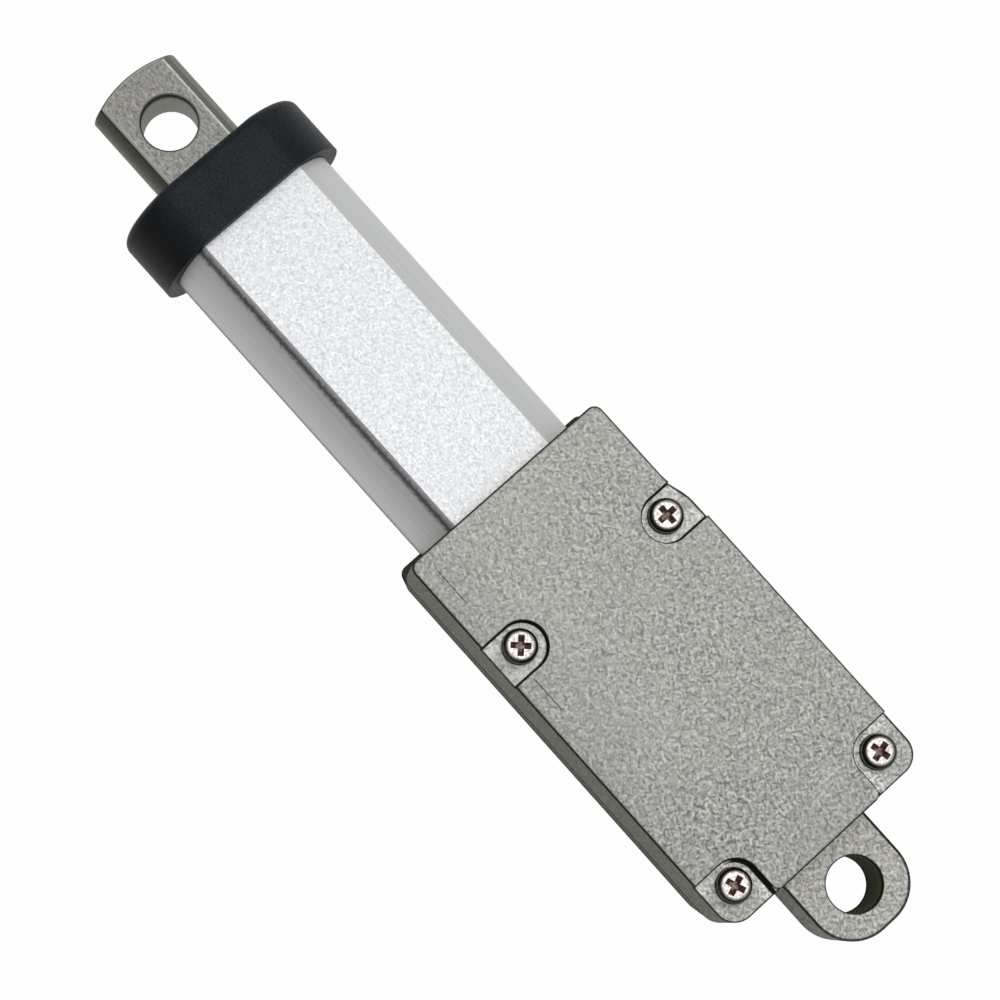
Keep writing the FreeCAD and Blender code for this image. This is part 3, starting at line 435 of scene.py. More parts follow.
def cast_alloy(name, light, dark, marks, wall_marks):
    """Tumbled die casting: worm-like grain on the faces, dull walls, painted shade to the foot and on edges.
    """
    made, tree, shader, point = new_finish(name, Specular_IOR_Level=0.05)
    grain = use(tree, cast_grain, Vector=point["Object"], Size=CAST_GRAIN)
    cloud = use(tree, cloudy, Vector=point["Object"], Size=CAST_CLOUD)
    wear = use(tree, cloudy, Vector=point["Object"], Size=CAST_WEAR)
    edges = use(tree, edge_line, Radius=CAST_EDGE * MM)
    level, place = bearings(tree, point)
    flat = remap(tree, level, *CAST_LEVEL)
    tone = mix(tree, grain["Tone"], dark, light)
    tone = mix(tree, both(tree, cloud["Tone"], 0.16), tone, colour(150, 151, 148))
    # The wear clouds, and a ramp that makes the face lighter towards the front.
    worn = calc(tree, "MULTIPLY_ADD", wear["Tone"], 0.25, ramp(tree, place["X"], *LIGHTER_TO_FRONT, 0.0, 0.25))
    tone = mix(tree, worn, tone, colour(190, 190, 184))
    # The face turns darker towards the left edge.
    tone = mix(tree, ramp(tree, place["Y"], *DARKER_TO_LEFT, 0.0, 0.25), tone, colour(140, 142, 138))
    joint = both(tree, between(tree, place["Z"], *JOINT), ramp(tree, place["X"], *EYE_ROOT, 0.0, 0.85))
    # The dark joint between the halves is dirt; the darkening towards the foot is painted shade.
    joint_dirt_and_foot_shade = calc(tree, "MAXIMUM", ramp(tree, place["Z"], *FOOT_SHADE, 0.0, 0.75), joint)
    wall = mix(tree, joint_dirt_and_foot_shade, wall_marks(tree, place, tone), colour(20, 19, 16))
    tone = mix(tree, flat, wall, marks(tree, place, tone))
    # Painted shade: dark lines on rounded rims and along edges.
    rim = calc(tree, "MAXIMUM", band(tree, level, *CAST_RIM), edges["Mask"])
    tone = mix(tree, both(tree, rim, 0.95), tone, colour(34, 33, 30))
    feed(tree, tone, shader["Base Color"])
    feed(tree, both(tree, flat, 0.5), shader["Metallic"])
    rough = remap(tree, grain["Tone"], 0.0, 1.0, *FACE_ROUGHNESS)
    feed(tree, remap(tree, flat, 0.0, 1.0, WALL_ROUGHNESS, rough), shader["Roughness"])
    raise_by(tree, shader, both(tree, grain["Height"], level), 0.02, 0.5)
    return made


print("cast alloy: grain of", CAST_GRAIN, "mm")

# %% [markdown]
# ## The cover
# Painted shade lies round the cover's screw heads and along the edges of the recesses that they sit in, and
# painted light lifts the recess floors. The face has faint stains, two fine lines from the mould and a
# scratch.
# Each mark is a soft ring or rectangle at its own place, so that it can be moved alone.

# %% The cover's marks
PIT_FLOOR, PIT_LIFT = (6.0, 6.3, 0.1), (1.86, 1.87, 1.86, 1.0)
FRONT_PIT, REAR_PIT = (27.22, 6.6), (5.89, 6.6)
PIT_FLOOR_LIGHT, PIT_INSIDE, PIT_LINE = (0.4, 1.7), (0, 1.8, 0.1), (1.66, 1.78, 0.05)
PIT_SHADOW, SHADOW_AT = (1.5, 1.77, 0.06), (3, 7.2, 4, 6.2, 0.2)
PIT_SHADE = colour(40, 39, 35)
CORNER, CORNER_LINE = (5.19, 7.24), (1.5, 2.0, 0.05)
SWELL_ALONG, SWELL, SWELL_LINE = (27.2, 29.3), 0.57, (8.74, 9.2, 0.05)
SCREWS_ALONG, SCREWS_ACROSS, HEAD_SHADOW = (27.35, 5.9), 6.7, (0.0, 1.22, 0.08)
STAINS = [(17.5, 23.0, 4.4, 6.2, 2.0), (3.6, 5.5, -3.5, 2.5, 2.0), (24.5, 25.5, 5.5, 6.5, 1.5)]
MOULD_LINES = [(31.9, 34.8, 7.5, 7.53, 0.05), (22.4, 25.1, 7.5, 7.53, 0.05)]
SCRATCH = (6.95, 7.02, -4.0, -2.2, 0.06)


def cover_marks(tree, place, tone):
    """Painted light on the recess floors, painted shade round the heads and recesses, stains, mould lines, a
    scratch.
    """
    sunk = between(tree, place["Z"], *PIT_FLOOR)
    front = reach(tree, place, *FRONT_PIT, across="MINIMUM")
    rear = reach(tree, place, *REAR_PIT, along="MAXIMUM", across="MINIMUM")
    # Painted light: the recess floors are lifted, most towards their walls.
    for pit in (front, rear):
        floor_light = both(tree, ramp(tree, pit, *PIT_FLOOR_LIGHT, 0.15, 1.0), between(tree, pit, *PIT_INSIDE))
        tone = mix(tree, both(tree, sunk, floor_light), tone, PIT_LIFT, "MULTIPLY")
    # Painted shade: dark lines where the recess floors meet their walls.
    corner = between(tree, reach(tree, place, *CORNER, along="MINIMUM", across="MAXIMUM"), *CORNER_LINE)
    side = calc(tree, "SUBTRACT", ramp(tree, place["X"], *SWELL_ALONG, 0.0, SWELL * MM), place["Y"])
    border = calc(tree, "MAXIMUM", corner, between(tree, side, *SWELL_LINE))
    tone = mix(tree, both(tree, sunk, border, 0.9), tone, PIT_SHADE)
    # Painted shadow round each screw head on the recess floor.
    for x in SCREWS_ALONG:
        head = between(tree, reach(tree, place, x, SCREWS_ACROSS), *HEAD_SHADOW)
        tone = mix(tree, both(tree, sunk, head), tone, colour(26, 24, 22))
    for stain in STAINS:
        tone = mix(tree, both(tree, patch(tree, place, *stain), 0.2), tone, colour(160, 162, 170))
    for line in MOULD_LINES:
        tone = mix(tree, both(tree, patch(tree, place, *line), 0.85), tone, colour(66, 66, 62))
    tone = mix(tree, both(tree, patch(tree, place, *SCRATCH), 0.5), tone, colour(222, 222, 216))
    # Painted shade: dark outlines along the recess edges.
    for pit in (front, rear):
        tone = mix(tree, between(tree, pit, *PIT_LINE), tone, PIT_SHADE)
    shadow = both(tree, between(tree, rear, *PIT_SHADOW), patch(tree, place, *SHADOW_AT))
    return mix(tree, shadow, tone, colour(30, 29, 26))


print("cover marks:", len(STAINS), "stains,", len(MOULD_LINES), "mould lines and a scratch")

# %% The cover's walls
WALL_SHADE = (0.94, 0.925, 0.84, 1.0)
PIT_WALL_ALONG, PIT_WALL_ACROSS = (4.2, 29.0, 0.2), (4.0, 8.2, 0.3)


def cover_wall(tree, place, tone):
    """The cover's walls get a little painted shade, and the recess walls round the screws dark painted shade.
    """
    tone = mix(tree, 1.0, tone, WALL_SHADE, "MULTIPLY")
    # Painted shade: the walls of the recesses round the screws are dark.
    across = between(tree, unsigned(tree, place["Y"]), *PIT_WALL_ACROSS)
    in_pit = both(tree, across, between(tree, place["X"], *PIT_WALL_ALONG))
    return mix(tree, in_pit, tone, colour(36, 34, 30))


cover_alloy = cast_alloy("cover_alloy", colour(210, 210, 204), colour(112, 112, 107), cover_marks, cover_wall)
print("cover:", len(cover_alloy.node_tree.nodes), "nodes")

# %% [markdown]
# ## The housing
# The housing carries the rear eye and stands out past the cover at the front, in a narrow ledge that is
# darker. The eye has painted shade along its outline and round its bore, and the bore has painted shade
# inside, darkest at its rims. Rings and rectangles serve here too.

# %% The housing's marks
LEDGE_HEIGHT, LEDGE_ALONG = (-0.05, 0.05, 0.1), (36, 38, 0.1)
EYE_ROUND, EYE_RIM, EYE_ALONG = (-0.3, 0.54), (3.14, 4.0, 0.05), (-9.0, 3.5, 0.05)
EYE_SIDE, EYE_SIDE_ALONG = (3.7, 4.2, 0.04), (-0.6, 3.5, 0.3)
EYE_SEAM = (3.42, 3.8, -4.5, 4.5, 0.06)
EYE_AXIS, BORE_RIM = (0.0, 0.0), (0.0, 2.05, 0.06)


def housing_marks(tree, place, tone):
    """A darker ledge in front of the cover; painted shade round the eye and where the eye meets the cover."""
    # The narrow ledge is darker.
    ledge = both(tree, between(tree, place["Z"], *LEDGE_HEIGHT), between(tree, place["X"], *LEDGE_ALONG))
    tone = mix(tree, ledge, tone, colour(64, 62, 55))
    # Painted shade: dark lines round the eye's outline, its sides, its bore and where it meets the cover.
    rim = between(tree, reach(tree, place, *EYE_ROUND, along="MINIMUM", across="MAXIMUM"), *EYE_RIM)
    rim = both(tree, rim, between(tree, place["X"], *EYE_ALONG))
    side = between(tree, unsigned(tree, place["Y"]), *EYE_SIDE)
    side = both(tree, side, between(tree, place["X"], *EYE_SIDE_ALONG))
    bore = between(tree, reach(tree, place, *EYE_AXIS), *BORE_RIM)
    for line in (rim, side, bore, patch(tree, place, *EYE_SEAM)):
        tone = mix(tree, both(tree, line, 0.9), tone, colour(44, 43, 38))
    return tone


print("housing marks: a ledge from", LEDGE_ALONG[0], "mm, and four lines round the eye")

# %% The housing's walls
BORE_WALL, BORE_SHADE_ENDS = (0.0, 2.1, 0.2), (2.0, 2.5)


def housing_wall(tree, place, tone):
    """Painted shade on the housing's walls, half as much on the eye, and in its bore, darkest at the ends."""
    tone = mix(tree, ramp(tree, place["X"], *EYE_ROOT, 0.5, 1.0), tone, WALL_SHADE, "MULTIPLY")
    # Painted shade in the eye's bore, near black at its ends.
    bore = between(tree, reach(tree, place, *EYE_AXIS), *BORE_WALL)
    ends = ramp(tree, unsigned(tree, place["Z"]), *BORE_SHADE_ENDS)
    return mix(tree, bore, tone, mix(tree, ends, colour(128, 126, 107), colour(16, 15, 12)))


housing_alloy = cast_alloy("housing_alloy", colour(218, 217, 210), colour(134, 133, 126),
                           housing_marks, housing_wall)
print("housing:", len(housing_alloy.node_tree.nodes), "nodes")

# %% [markdown]
# ## Drawn tube
# The tube is an extrusion, anodised nearly white. Its flats are blasted and speckled, and its round sides are
# satin with fine lines along the tube. Painted shade darkens the left side, its underside and a line along
# the left edge of the flats. The way a surface faces tells the flats from the sides, and the line is a ragged
# band at one place across the tube.

# %% Drawn tube
TUBE_LEVEL, TUBE_GRAIN, DRAWN_LINES, DRAWN_OUT = (0.86, 0.98), 0.36, 0.4, 0.02
FLAT_EDGE_SHADE, FLAT_EDGE_RAGGED = (4.74, 4.83, 0.26), 0.12
LEFT_SIDE, SIDES_MEET = (4.4, 6.6), (-1, 1)
TURNS_UNDER, UNDER_ACROSS = (0.14, -0.04), (0, 1)


def tube_alloy(name):
    """Anodised extrusion: blasted, near-white flats, satin round sides, painted shade on the left and one
    edge.
    """
    made, tree, shader, point = new_finish(name, Metallic=0.5, Specular_IOR_Level=0.3)
    level, place = bearings(tree, point)
    flat = remap(tree, level, *TUBE_LEVEL)
    grain = use(tree, cast_grain, Vector=point["Object"], Size=TUBE_GRAIN)
    lines = use(tree, tool_lines, Vector=stretched(tree, point["Object"], x=DRAWN_OUT), Size=DRAWN_LINES)
    speckled = mix(tree, grain["Tone"], colour(205, 207, 211), colour(248, 249, 250))
    # Painted shade: the left side is darker than the right, most near the flat.
    left = calc(tree, "MULTIPLY_ADD", lines["Tone"], 0.3, ramp(tree, place["Y"], *LEFT_SIDE, 0.0, 0.75))
    left = mix(tree, left, colour(172, 174, 173), colour(224, 226, 224))
    right = mix(tree, lines["Tone"], colour(216, 218, 217), colour(230, 232, 231))
    sides = mix(tree, ramp(tree, place["Y"], *SIDES_MEET), right, left)
    tone = mix(tree, flat, sides, speckled)
    # Painted shade: a ragged dark line along the left edge of the flats.
    ragged = calc(tree, "MULTIPLY_ADD", grain["Tone"], FLAT_EDGE_RAGGED * MM, place["Y"])
    tone = mix(tree, both(tree, between(tree, ragged, *FLAT_EDGE_SHADE), 0.92), tone, colour(72, 72, 80))
    # Painted shade on the left side where it turns under.
    under = remap(tree, split(tree, point["Normal"])["Z"], *TURNS_UNDER)
    under = both(tree, under, ramp(tree, place["Y"], *UNDER_ACROSS, 0.0, 0.85))
    tone = mix(tree, under, tone, colour(46, 46, 44))
    feed(tree, tone, shader["Base Color"])
    feed(tree, remap(tree, flat, 0.0, 1.0, 0.6, 0.5), shader["Roughness"])
    raise_by(tree, shader, both(tree, grain["Height"], flat), 0.02, 0.5)
    return made


drawn_tube = tube_alloy("tube_alloy")
print("tube:", len(drawn_tube.node_tree.nodes), "nodes")

# %% [markdown]
# ## Black cap
# The cap is moulded in black plastic from a spark-eroded mould, which leaves a fine, dull texture. The grain
# at a small size gives that texture. Its left side and its back are darkened with painted shade.

# %% Black cap
CAP_GRAIN, CAP_CLOUD = 0.2, 3.0
CAP_LEFT, CAP_BACK = (4.6, 6.4), (-0.3, -0.8)


def cap_plastic(name):
    """Moulded black plastic with a fine spark-eroded texture."""
    made, tree, shader, point = new_finish(name, Specular_IOR_Level=0.14)
    grain = use(tree, cast_grain, Vector=point["Object"], Size=CAP_GRAIN)
    cloud = use(tree, cloudy, Vector=point["Object"], Size=CAP_CLOUD)
    speckle = calc(tree, "MULTIPLY_ADD", grain["Tone"], 0.7, both(tree, cloud["Tone"], 0.3))
    tone = mix(tree, speckle, colour(8, 14, 18), colour(40, 48, 53))
    # Painted shade on the left side and on the back.
    left = ramp(tree, split(tree, point["Object"])["Y"], *CAP_LEFT)
    back = remap(tree, split(tree, point["Normal"])["X"], *CAP_BACK)
    tone = mix(tree, calc(tree, "MAXIMUM", left, back), tone, colour(2, 4, 5))
    feed(tree, tone, shader["Base Color"])
    feed(tree, remap(tree, grain["Tone"], 0.0, 1.0, 0.56, 0.42), shader["Roughness"])
    raise_by(tree, shader, grain["Height"], 0.01, 0.4)
    return made


black_cap = cap_plastic("cap_plastic")
print("cap:", len(black_cap.node_tree.nodes), "nodes")

# %% [markdown]
# ## Rod steel
# The rod is a turned steel bar with two milled flats at its end, bored across for a pin. The flats are
# brighter than the turned sides, with painted highlights along their edges, a worn strip on the right and
# a painted dark line of shade on each side. The round sides get painted light and shade, and in the bore
# the metal is dull, with painted shade at its mouth. Each zone is told by its place and its slope.

# %% Rod flats
WORN_STRIP, STRIP_LINE = (-3.0, -2.80, 0.05), (-2.84, -2.80, 0.06)
RIGHT_GLINT, LEFT_GLINT = (-2.66, -2.60, 0.06), (2.78, 2.83, 0.06)
HIGHLIGHT_STEEL = colour(196, 195, 190)


def rod_flats(tree, place, marked):
    """Milled and tumbled flats: painted highlights inside both edges, a worn strip, a painted dark line on
    the right.
    """
    tone = mix(tree, marked, colour(86, 84, 79), colour(156, 155, 150))
    tone = mix(tree, between(tree, place["Y"], *WORN_STRIP), tone, colour(108, 107, 100))
    # Painted shade: a dark line along the worn strip's inner edge.
    tone = mix(tree, between(tree, place["Y"], *STRIP_LINE), tone, colour(40, 39, 34))
    # Painted highlights just inside both edges of the flats.
    tone = mix(tree, both(tree, between(tree, place["Y"], *RIGHT_GLINT), 0.6), tone, HIGHLIGHT_STEEL)
    return mix(tree, both(tree, between(tree, place["Y"], *LEFT_GLINT), 0.3), tone, HIGHLIGHT_STEEL)


print("rod flats: a worn strip of", round(WORN_STRIP[1] - WORN_STRIP[0], 2), "mm")

# %% Rod sides
LEFT_LIGHTENS, RIGHT_LIGHTENS = (0.56, 0.05), (0.2, 0.58)
LEFT_LINE = (0.555, 0.64, 0.02)


def rod_sides(tree, place, level, marked):
    """Turned round sides in painted light and shade: dark with a darker edge line on the left, lighter
    towards the flats on the right.
    """
    # Painted shade on the left side, with a darker line near the flat.
    left = mix(tree, remap(tree, level, *LEFT_LIGHTENS), colour(64, 63, 54), colour(78, 77, 69))
    left = mix(tree, band(tree, level, *LEFT_LINE), left, colour(26, 25, 21))
    # Painted light on the right side, more towards the flats.
    right = mix(tree, marked, colour(70, 69, 63), colour(92, 91, 85))
    right = mix(tree, remap(tree, level, *RIGHT_LIGHTENS), right, colour(124, 123, 115))
    return mix(tree, ramp(tree, place["Y"], *SIDES_MEET), right, left)


print("rod sides ready")

# %% Rod steel
ROD_LEVEL, ROD_LINES, ROD_DRAWN_OUT, ROD_GRAIN = (0.95, 0.99), 0.18, 0.4, 0.34
ROD_BORE_AXIS, ROD_BORE, ROD_BORE_MOUTH = (71.0, 0.0), (0.0, 2.02, 0.02), (1.2, 1.8)
CHAMFER_HEIGHT, CHAMFER_LEVEL, CHAMFER_DULLS = (2.15, 2.19), (0.66, 0.94, 0.03), (-2.6, -2.4)


def rod_steel(name):
    """Stainless bar: turned sides, milled flats with painted highlights on the chamfers, a dull bore with
    painted shade at its mouth.
    """
    made, tree, shader, point = new_finish(name)
    level, place = bearings(tree, point)
    drawn = stretched(tree, point["Object"], x=ROD_DRAWN_OUT, z=ROD_DRAWN_OUT)
    lines = use(tree, tool_lines, Vector=drawn, Size=ROD_LINES)
    grain = use(tree, cast_grain, Vector=point["Object"], Size=ROD_GRAIN)
    marked = calc(tree, "MULTIPLY_ADD", lines["Tone"], 0.6, both(tree, grain["Tone"], 0.4))
    in_bore = between(tree, reach(tree, place, *ROD_BORE_AXIS), *ROD_BORE)
    # Painted shade at the mouth of the bore.
    bored = mix(tree, ramp(tree, place["Z"], *ROD_BORE_MOUTH), colour(214, 213, 205), colour(14, 13, 11))
    sides = mix(tree, in_bore, rod_sides(tree, place, level, marked), bored)
    tone = mix(tree, remap(tree, level, *ROD_LEVEL), sides, rod_flats(tree, place, marked))
    # Painted highlight on the chamfers, weaker on the right.
    chamfer = ramp(tree, unsigned(tree, place["Z"]), *CHAMFER_HEIGHT)
    chamfer = both(tree, chamfer, band(tree, level, *CHAMFER_LEVEL))
    chamfer = both(tree, chamfer, ramp(tree, place["Y"], *CHAMFER_DULLS, 0.25, 1.0))
    feed(tree, mix(tree, chamfer, tone, HIGHLIGHT_STEEL), shader["Base Color"])
    feed(tree, remap(tree, in_bore, 0.0, 1.0, 1.0, 0.2), shader["Metallic"])
    rough = remap(tree, marked, 0.0, 1.0, 0.5, 0.38)
    feed(tree, remap(tree, in_bore, 0.0, 1.0, rough, 0.8), shader["Roughness"])
    raise_by(tree, shader, marked, 0.008, 0.4)
    return made


turned_rod = rod_steel("rod_steel")
print("rod:", len(turned_rod.node_tree.nodes), "nodes")

# %% [markdown]
# ## Screw steel
# The cover screws are plated steel, bright on top, a little warm in tone, with painted shade on their sides.
# The inside of their cross is worn and brown. One material could do both by depth, but the cut faces have
# their own material slot, so two plain finishes are simpler.

# %% Screw steel
SCREW_GRAIN, SCREW_EDGE, SCREW_LEVEL = 0.3, 0.07, (0.84, 0.96)


def screw_steel(name):
    """Bright plated steel, a little warm, with fine scratches, and painted shade on its sides and edges."""
    made, tree, shader, point = new_finish(name, Metallic=1.0)
    grain = use(tree, cast_grain, Vector=point["Object"], Size=SCREW_GRAIN)
    edges = use(tree, edge_line, Radius=SCREW_EDGE * MM)
    level = unsigned(tree, split(tree, point["Normal"])["Z"])
    tone = mix(tree, grain["Tone"], colour(146, 139, 134), colour(212, 206, 202))
    # Painted shade on the sides and rounded edge of the head, and along its edges.
    tone = mix(tree, remap(tree, level, *SCREW_LEVEL), colour(58, 53, 49), tone)
    tone = mix(tree, both(tree, edges["Mask"], 0.6), tone, colour(74, 62, 54))
    feed(tree, tone, shader["Base Color"])
    feed(tree, remap(tree, grain["Tone"], 0.0, 1.0, 0.36, 0.26), shader["Roughness"])
    return made


def recess_steel(name):
    """The worn inside of a cross recess: brown and dull."""
    made, tree, shader, point = new_finish(name, Metallic=0.4)
    grain = use(tree, cast_grain, Vector=point["Object"], Size=SCREW_GRAIN)
    feed(tree, mix(tree, grain["Tone"], colour(88, 70, 60), colour(150, 130, 118)), shader["Base Color"])
    feed(tree, remap(tree, grain["Tone"], 0.0, 1.0, 0.5, 0.36), shader["Roughness"])
    return made


plated = screw_steel("screw_steel")
recess = recess_steel("screw_recess")
print("screws:", len(plated.node_tree.nodes), "nodes, and", len(recess.node_tree.nodes), "in the cross")

# %% [markdown]
# ## Plain metals and plastics
# The pieces inside are machined, drawn or moulded, and differ mostly in colour. Two recipes cover them:
# a metal with tool lines under soft clouds, and a plastic with a fine grain.

# %% Plain metals and plastics
METAL_DRAWN_OUT, METAL_CLOUD, PLASTIC_CLOUD = 0.2, 2.5, 2.0
SMOOTHER, ROUGHER = 0.06, 0.08


def worked_metal(name, light, dark, line_size, roughness):
    """A machined or drawn metal: fine tool lines over a cloudy tone."""
    made, tree, shader, point = new_finish(name, Metallic=1.0)
    drawn = stretched(tree, point["Object"], x=METAL_DRAWN_OUT)
    lines = use(tree, tool_lines, Vector=drawn, Size=line_size)
    cloud = use(tree, cloudy, Vector=point["Object"], Size=METAL_CLOUD)
    tone = mix(tree, lines["Tone"], dark, light)
    feed(tree, mix(tree, both(tree, cloud["Tone"], 0.35), tone, dark), shader["Base Color"])
    rough = remap(tree, cloud["Tone"], 0.0, 1.0, roughness - SMOOTHER, roughness + ROUGHER)
    feed(tree, rough, shader["Roughness"])
    raise_by(tree, shader, lines["Tone"], 0.004, 0.4)
    return made


def moulded(name, light, dark, grain_size, roughness):
    """A moulded plastic or rubber: fine grain and a slightly cloudy colour."""
    made, tree, shader, point = new_finish(name, Specular_IOR_Level=0.35)
    grain = use(tree, cast_grain, Vector=point["Object"], Size=grain_size)
    cloud = use(tree, cloudy, Vector=point["Object"], Size=PLASTIC_CLOUD)
    feed(tree, mix(tree, cloud["Tone"], dark, light), shader["Base Color"])
    rough = remap(tree, grain["Tone"], 0.0, 1.0, roughness + ROUGHER, roughness - SMOOTHER)
    feed(tree, rough, shader["Roughness"])
    raise_by(tree, shader, grain["Height"], 0.008, 0.4)
    return made


print("recipes: roughness varies by", round(SMOOTHER + ROUGHER, 2))

# %% Inner metals and plastics
bronze = worked_metal("bronze", colour(186, 142, 92), colour(150, 108, 66), 0.12, 0.38)
steel = worked_metal("machined_steel", colour(196, 197, 198), colour(160, 161, 163), 0.10, 0.30)
brass = worked_metal("gear_brass", colour(214, 178, 98), colour(176, 140, 70), 0.10, 0.32)
can = worked_metal("can_steel", colour(184, 186, 188), colour(150, 152, 155), 0.20, 0.28)
copper = worked_metal("copper", colour(198, 122, 84), colour(160, 92, 60), 0.10, 0.34)
enamel = worked_metal("winding_wire", colour(182, 98, 58), colour(132, 62, 34), 0.08, 0.30)
lamination = worked_metal("lamination", colour(120, 120, 122), colour(84, 84, 88), 0.12, 0.5)
rubber = moulded("seal_rubber", colour(34, 34, 35), colour(24, 24, 25), 0.15, 0.62)
nut = moulded("nut_plastic", colour(236, 232, 220), colour(222, 217, 203), 0.2, 0.4)
bell = moulded("bell_plastic", colour(40, 40, 43), colour(28, 28, 31), 0.2, 0.45)
magnet = moulded("magnet", colour(62, 60, 60), colour(46, 44, 45), 0.2, 0.6)
board = moulded("board", colour(28, 92, 58), colour(20, 74, 46), 0.25, 0.42)
print("materials:", len(bpy.data.materials))

# %% [markdown]
# ## A finish for every node
# A node of the frame is one subcomponent, and its mesh has a slot for its material. The slots could be
# filled by hand in the properties editor. A list of nodes under each finish does the same, and shows
# at a glance what is made of what.

# %% Give every node its finish
FINISHES = {
    cover_alloy: ["gearbox_cover"],
    housing_alloy: ["gearbox_housing"],
    drawn_tube: ["outer_tube"],
    black_cap: ["front_cap"],
    turned_rod: ["push_rod"],
    plated: ["cover_screws"],
    rubber: ["rod_wiper", "tube_gasket", "wire_grommet"],
    bronze: ["rod_bush", "motor_bushes"],
    nut: ["lead_nut"],
    steel: ["lead_screw", "screw_clip", "bearing_inner_ring", "bearing_outer_ring", "bearing_balls",
            "gear_pins", "motor_shaft", "gear_plate_rear", "gear_plate_front"],
    brass: ["motor_pinion", "idler_gear_a", "idler_gear_b", "output_gear"],
    can: ["motor_can"],
    bell: ["motor_end_bell", "limit_switches"],
    magnet: ["motor_magnets"],
    copper: ["motor_terminals", "motor_commutator"],
    lamination: ["motor_armature"],
    board: ["limit_switch_board"],
}
for finish, names in FINISHES.items():
    for name in names:
        nodes[name].data.materials.clear()
        nodes[name].data.materials.append(finish)
print("finishes:", len(FINISHES), "on", sum(map(len, FINISHES.values())), "of", len(nodes), "nodes")

# %% [markdown]
# ## Cover screws
# Four small pan head screws hold the cover. Such a screw is headed and rolled from wire, so all of it is
# round but the cross in its head. A round piece can be spun from half an outline or grown from a disc.
# Growing is used here: each extrude and resize is one line of the screw's drawing, and the ridges of
# the thread are two such lines, repeated.

# %% Grow a round piece
def grow(name, steps, points):
    """A round piece on the Z axis: a disc is extruded and resized through steps of height and radius."""
    bpy.ops.object.select_all(action="DESELECT")
    bpy.ops.mesh.primitive_circle_add(vertices=points, radius=steps[0][1] * MM, fill_type="NGON")
    made = bpy.context.object
    made.name = name
    bpy.ops.object.mode_set(mode="EDIT")
    bpy.ops.transform.translate(value=(0, 0, steps[0][0] * MM))
    for (height, radius), (next_height, next_radius) in zip(steps, steps[1:]):
        rise = (0, 0, (next_height - height) * MM)
        bpy.ops.mesh.extrude_region_move(TRANSFORM_OT_translate={"value": rise})
        share = next_radius / radius
        bpy.ops.transform.resize(value=(share, share, 1), center_override=(0, 0, next_height * MM))
    bpy.ops.mesh.select_all(action="SELECT")
    bpy.ops.mesh.normals_make_consistent(inside=False)
    bpy.ops.object.mode_set(mode="OBJECT")
    return made


print("ready to grow round pieces")

# %% Grow the cover screw
HEAD, HEAD_ROUND, SEAT = 1.2, 0.38, 6.15
SHANK, SHANK_ROOT, RIDGE = 0.68, 0.55, 0.4
TIP, TIP_LENGTH, RIDGES_END, PLAIN_LENGTH = 0.4, 0.2, 1.2, 1.0
SHOULDER_RISE, ROUND_STEPS, SCREW_POINTS = 0.001, 5, 40

low, high = (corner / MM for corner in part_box("cover_screws"))
steps = [(low.z, TIP)]
ridge_count = int((SEAT - RIDGES_END - low.z) / RIDGE)
for number in range(ridge_count):
    foot = low.z + TIP_LENGTH + number * RIDGE
    steps += [(foot, SHANK_ROOT), (foot + RIDGE / 2, SHANK)]
steps += [(SEAT - PLAIN_LENGTH, SHANK_ROOT), (SEAT - SHOULDER_RISE, SHANK_ROOT), (SEAT, HEAD)]
for number in range(ROUND_STEPS + 1):
    lean = math.radians(90 / ROUND_STEPS * number)
    steps.append((high.z - HEAD_ROUND + HEAD_ROUND * math.sin(lean),
                  HEAD - HEAD_ROUND + HEAD_ROUND * math.cos(lean)))
screw = grow("screw", steps, SCREW_POINTS)
print("screw:", ridge_count, "ridges,", len(screw.data.polygons), "faces")

# %% [markdown]
# ## The cross
# The driver's cross is pressed in with a tapered punch. A punch is easy to model, so it is: a block whose
# lower face is shrunk, laid twice across the head and cut out with Boolean modifiers. The cut
# faces take the punch's own material, which makes the worn inside of the cross another finish.

# %% Select and cut
def select_where(made, kind, test):
    """Selects the faces (FACE) or corners (VERT) of a piece that pass a test, and stays in edit mode."""
    bpy.ops.object.mode_set(mode="EDIT")
    bpy.ops.mesh.select_mode(type=kind)
    bpy.ops.mesh.select_all(action="DESELECT")
    bpy.ops.object.mode_set(mode="OBJECT")
    for item in made.data.polygons if kind == "FACE" else made.data.vertices:
        item.select = test(item)
    bpy.ops.object.mode_set(mode="EDIT")


def make_active(made):
    """Selects one piece alone, so that the next operator acts on it."""
    bpy.ops.object.select_all(action="DESELECT")
    made.select_set(True)
    bpy.context.view_layer.objects.active = made


def combine(made, other, operation):
    """Cuts another solid out of a piece, or joins it on, and deletes the other."""
    make_active(made)
    bpy.ops.object.modifier_add(type="BOOLEAN")
    step = made.modifiers[-1]
    step.object = other
    step.operation = operation
    step.solver = "EXACT"
    step.material_mode = "TRANSFER"
    bpy.ops.object.modifier_apply(modifier=step.name)
    bpy.data.objects.remove(other)


print("ready to select and cut")

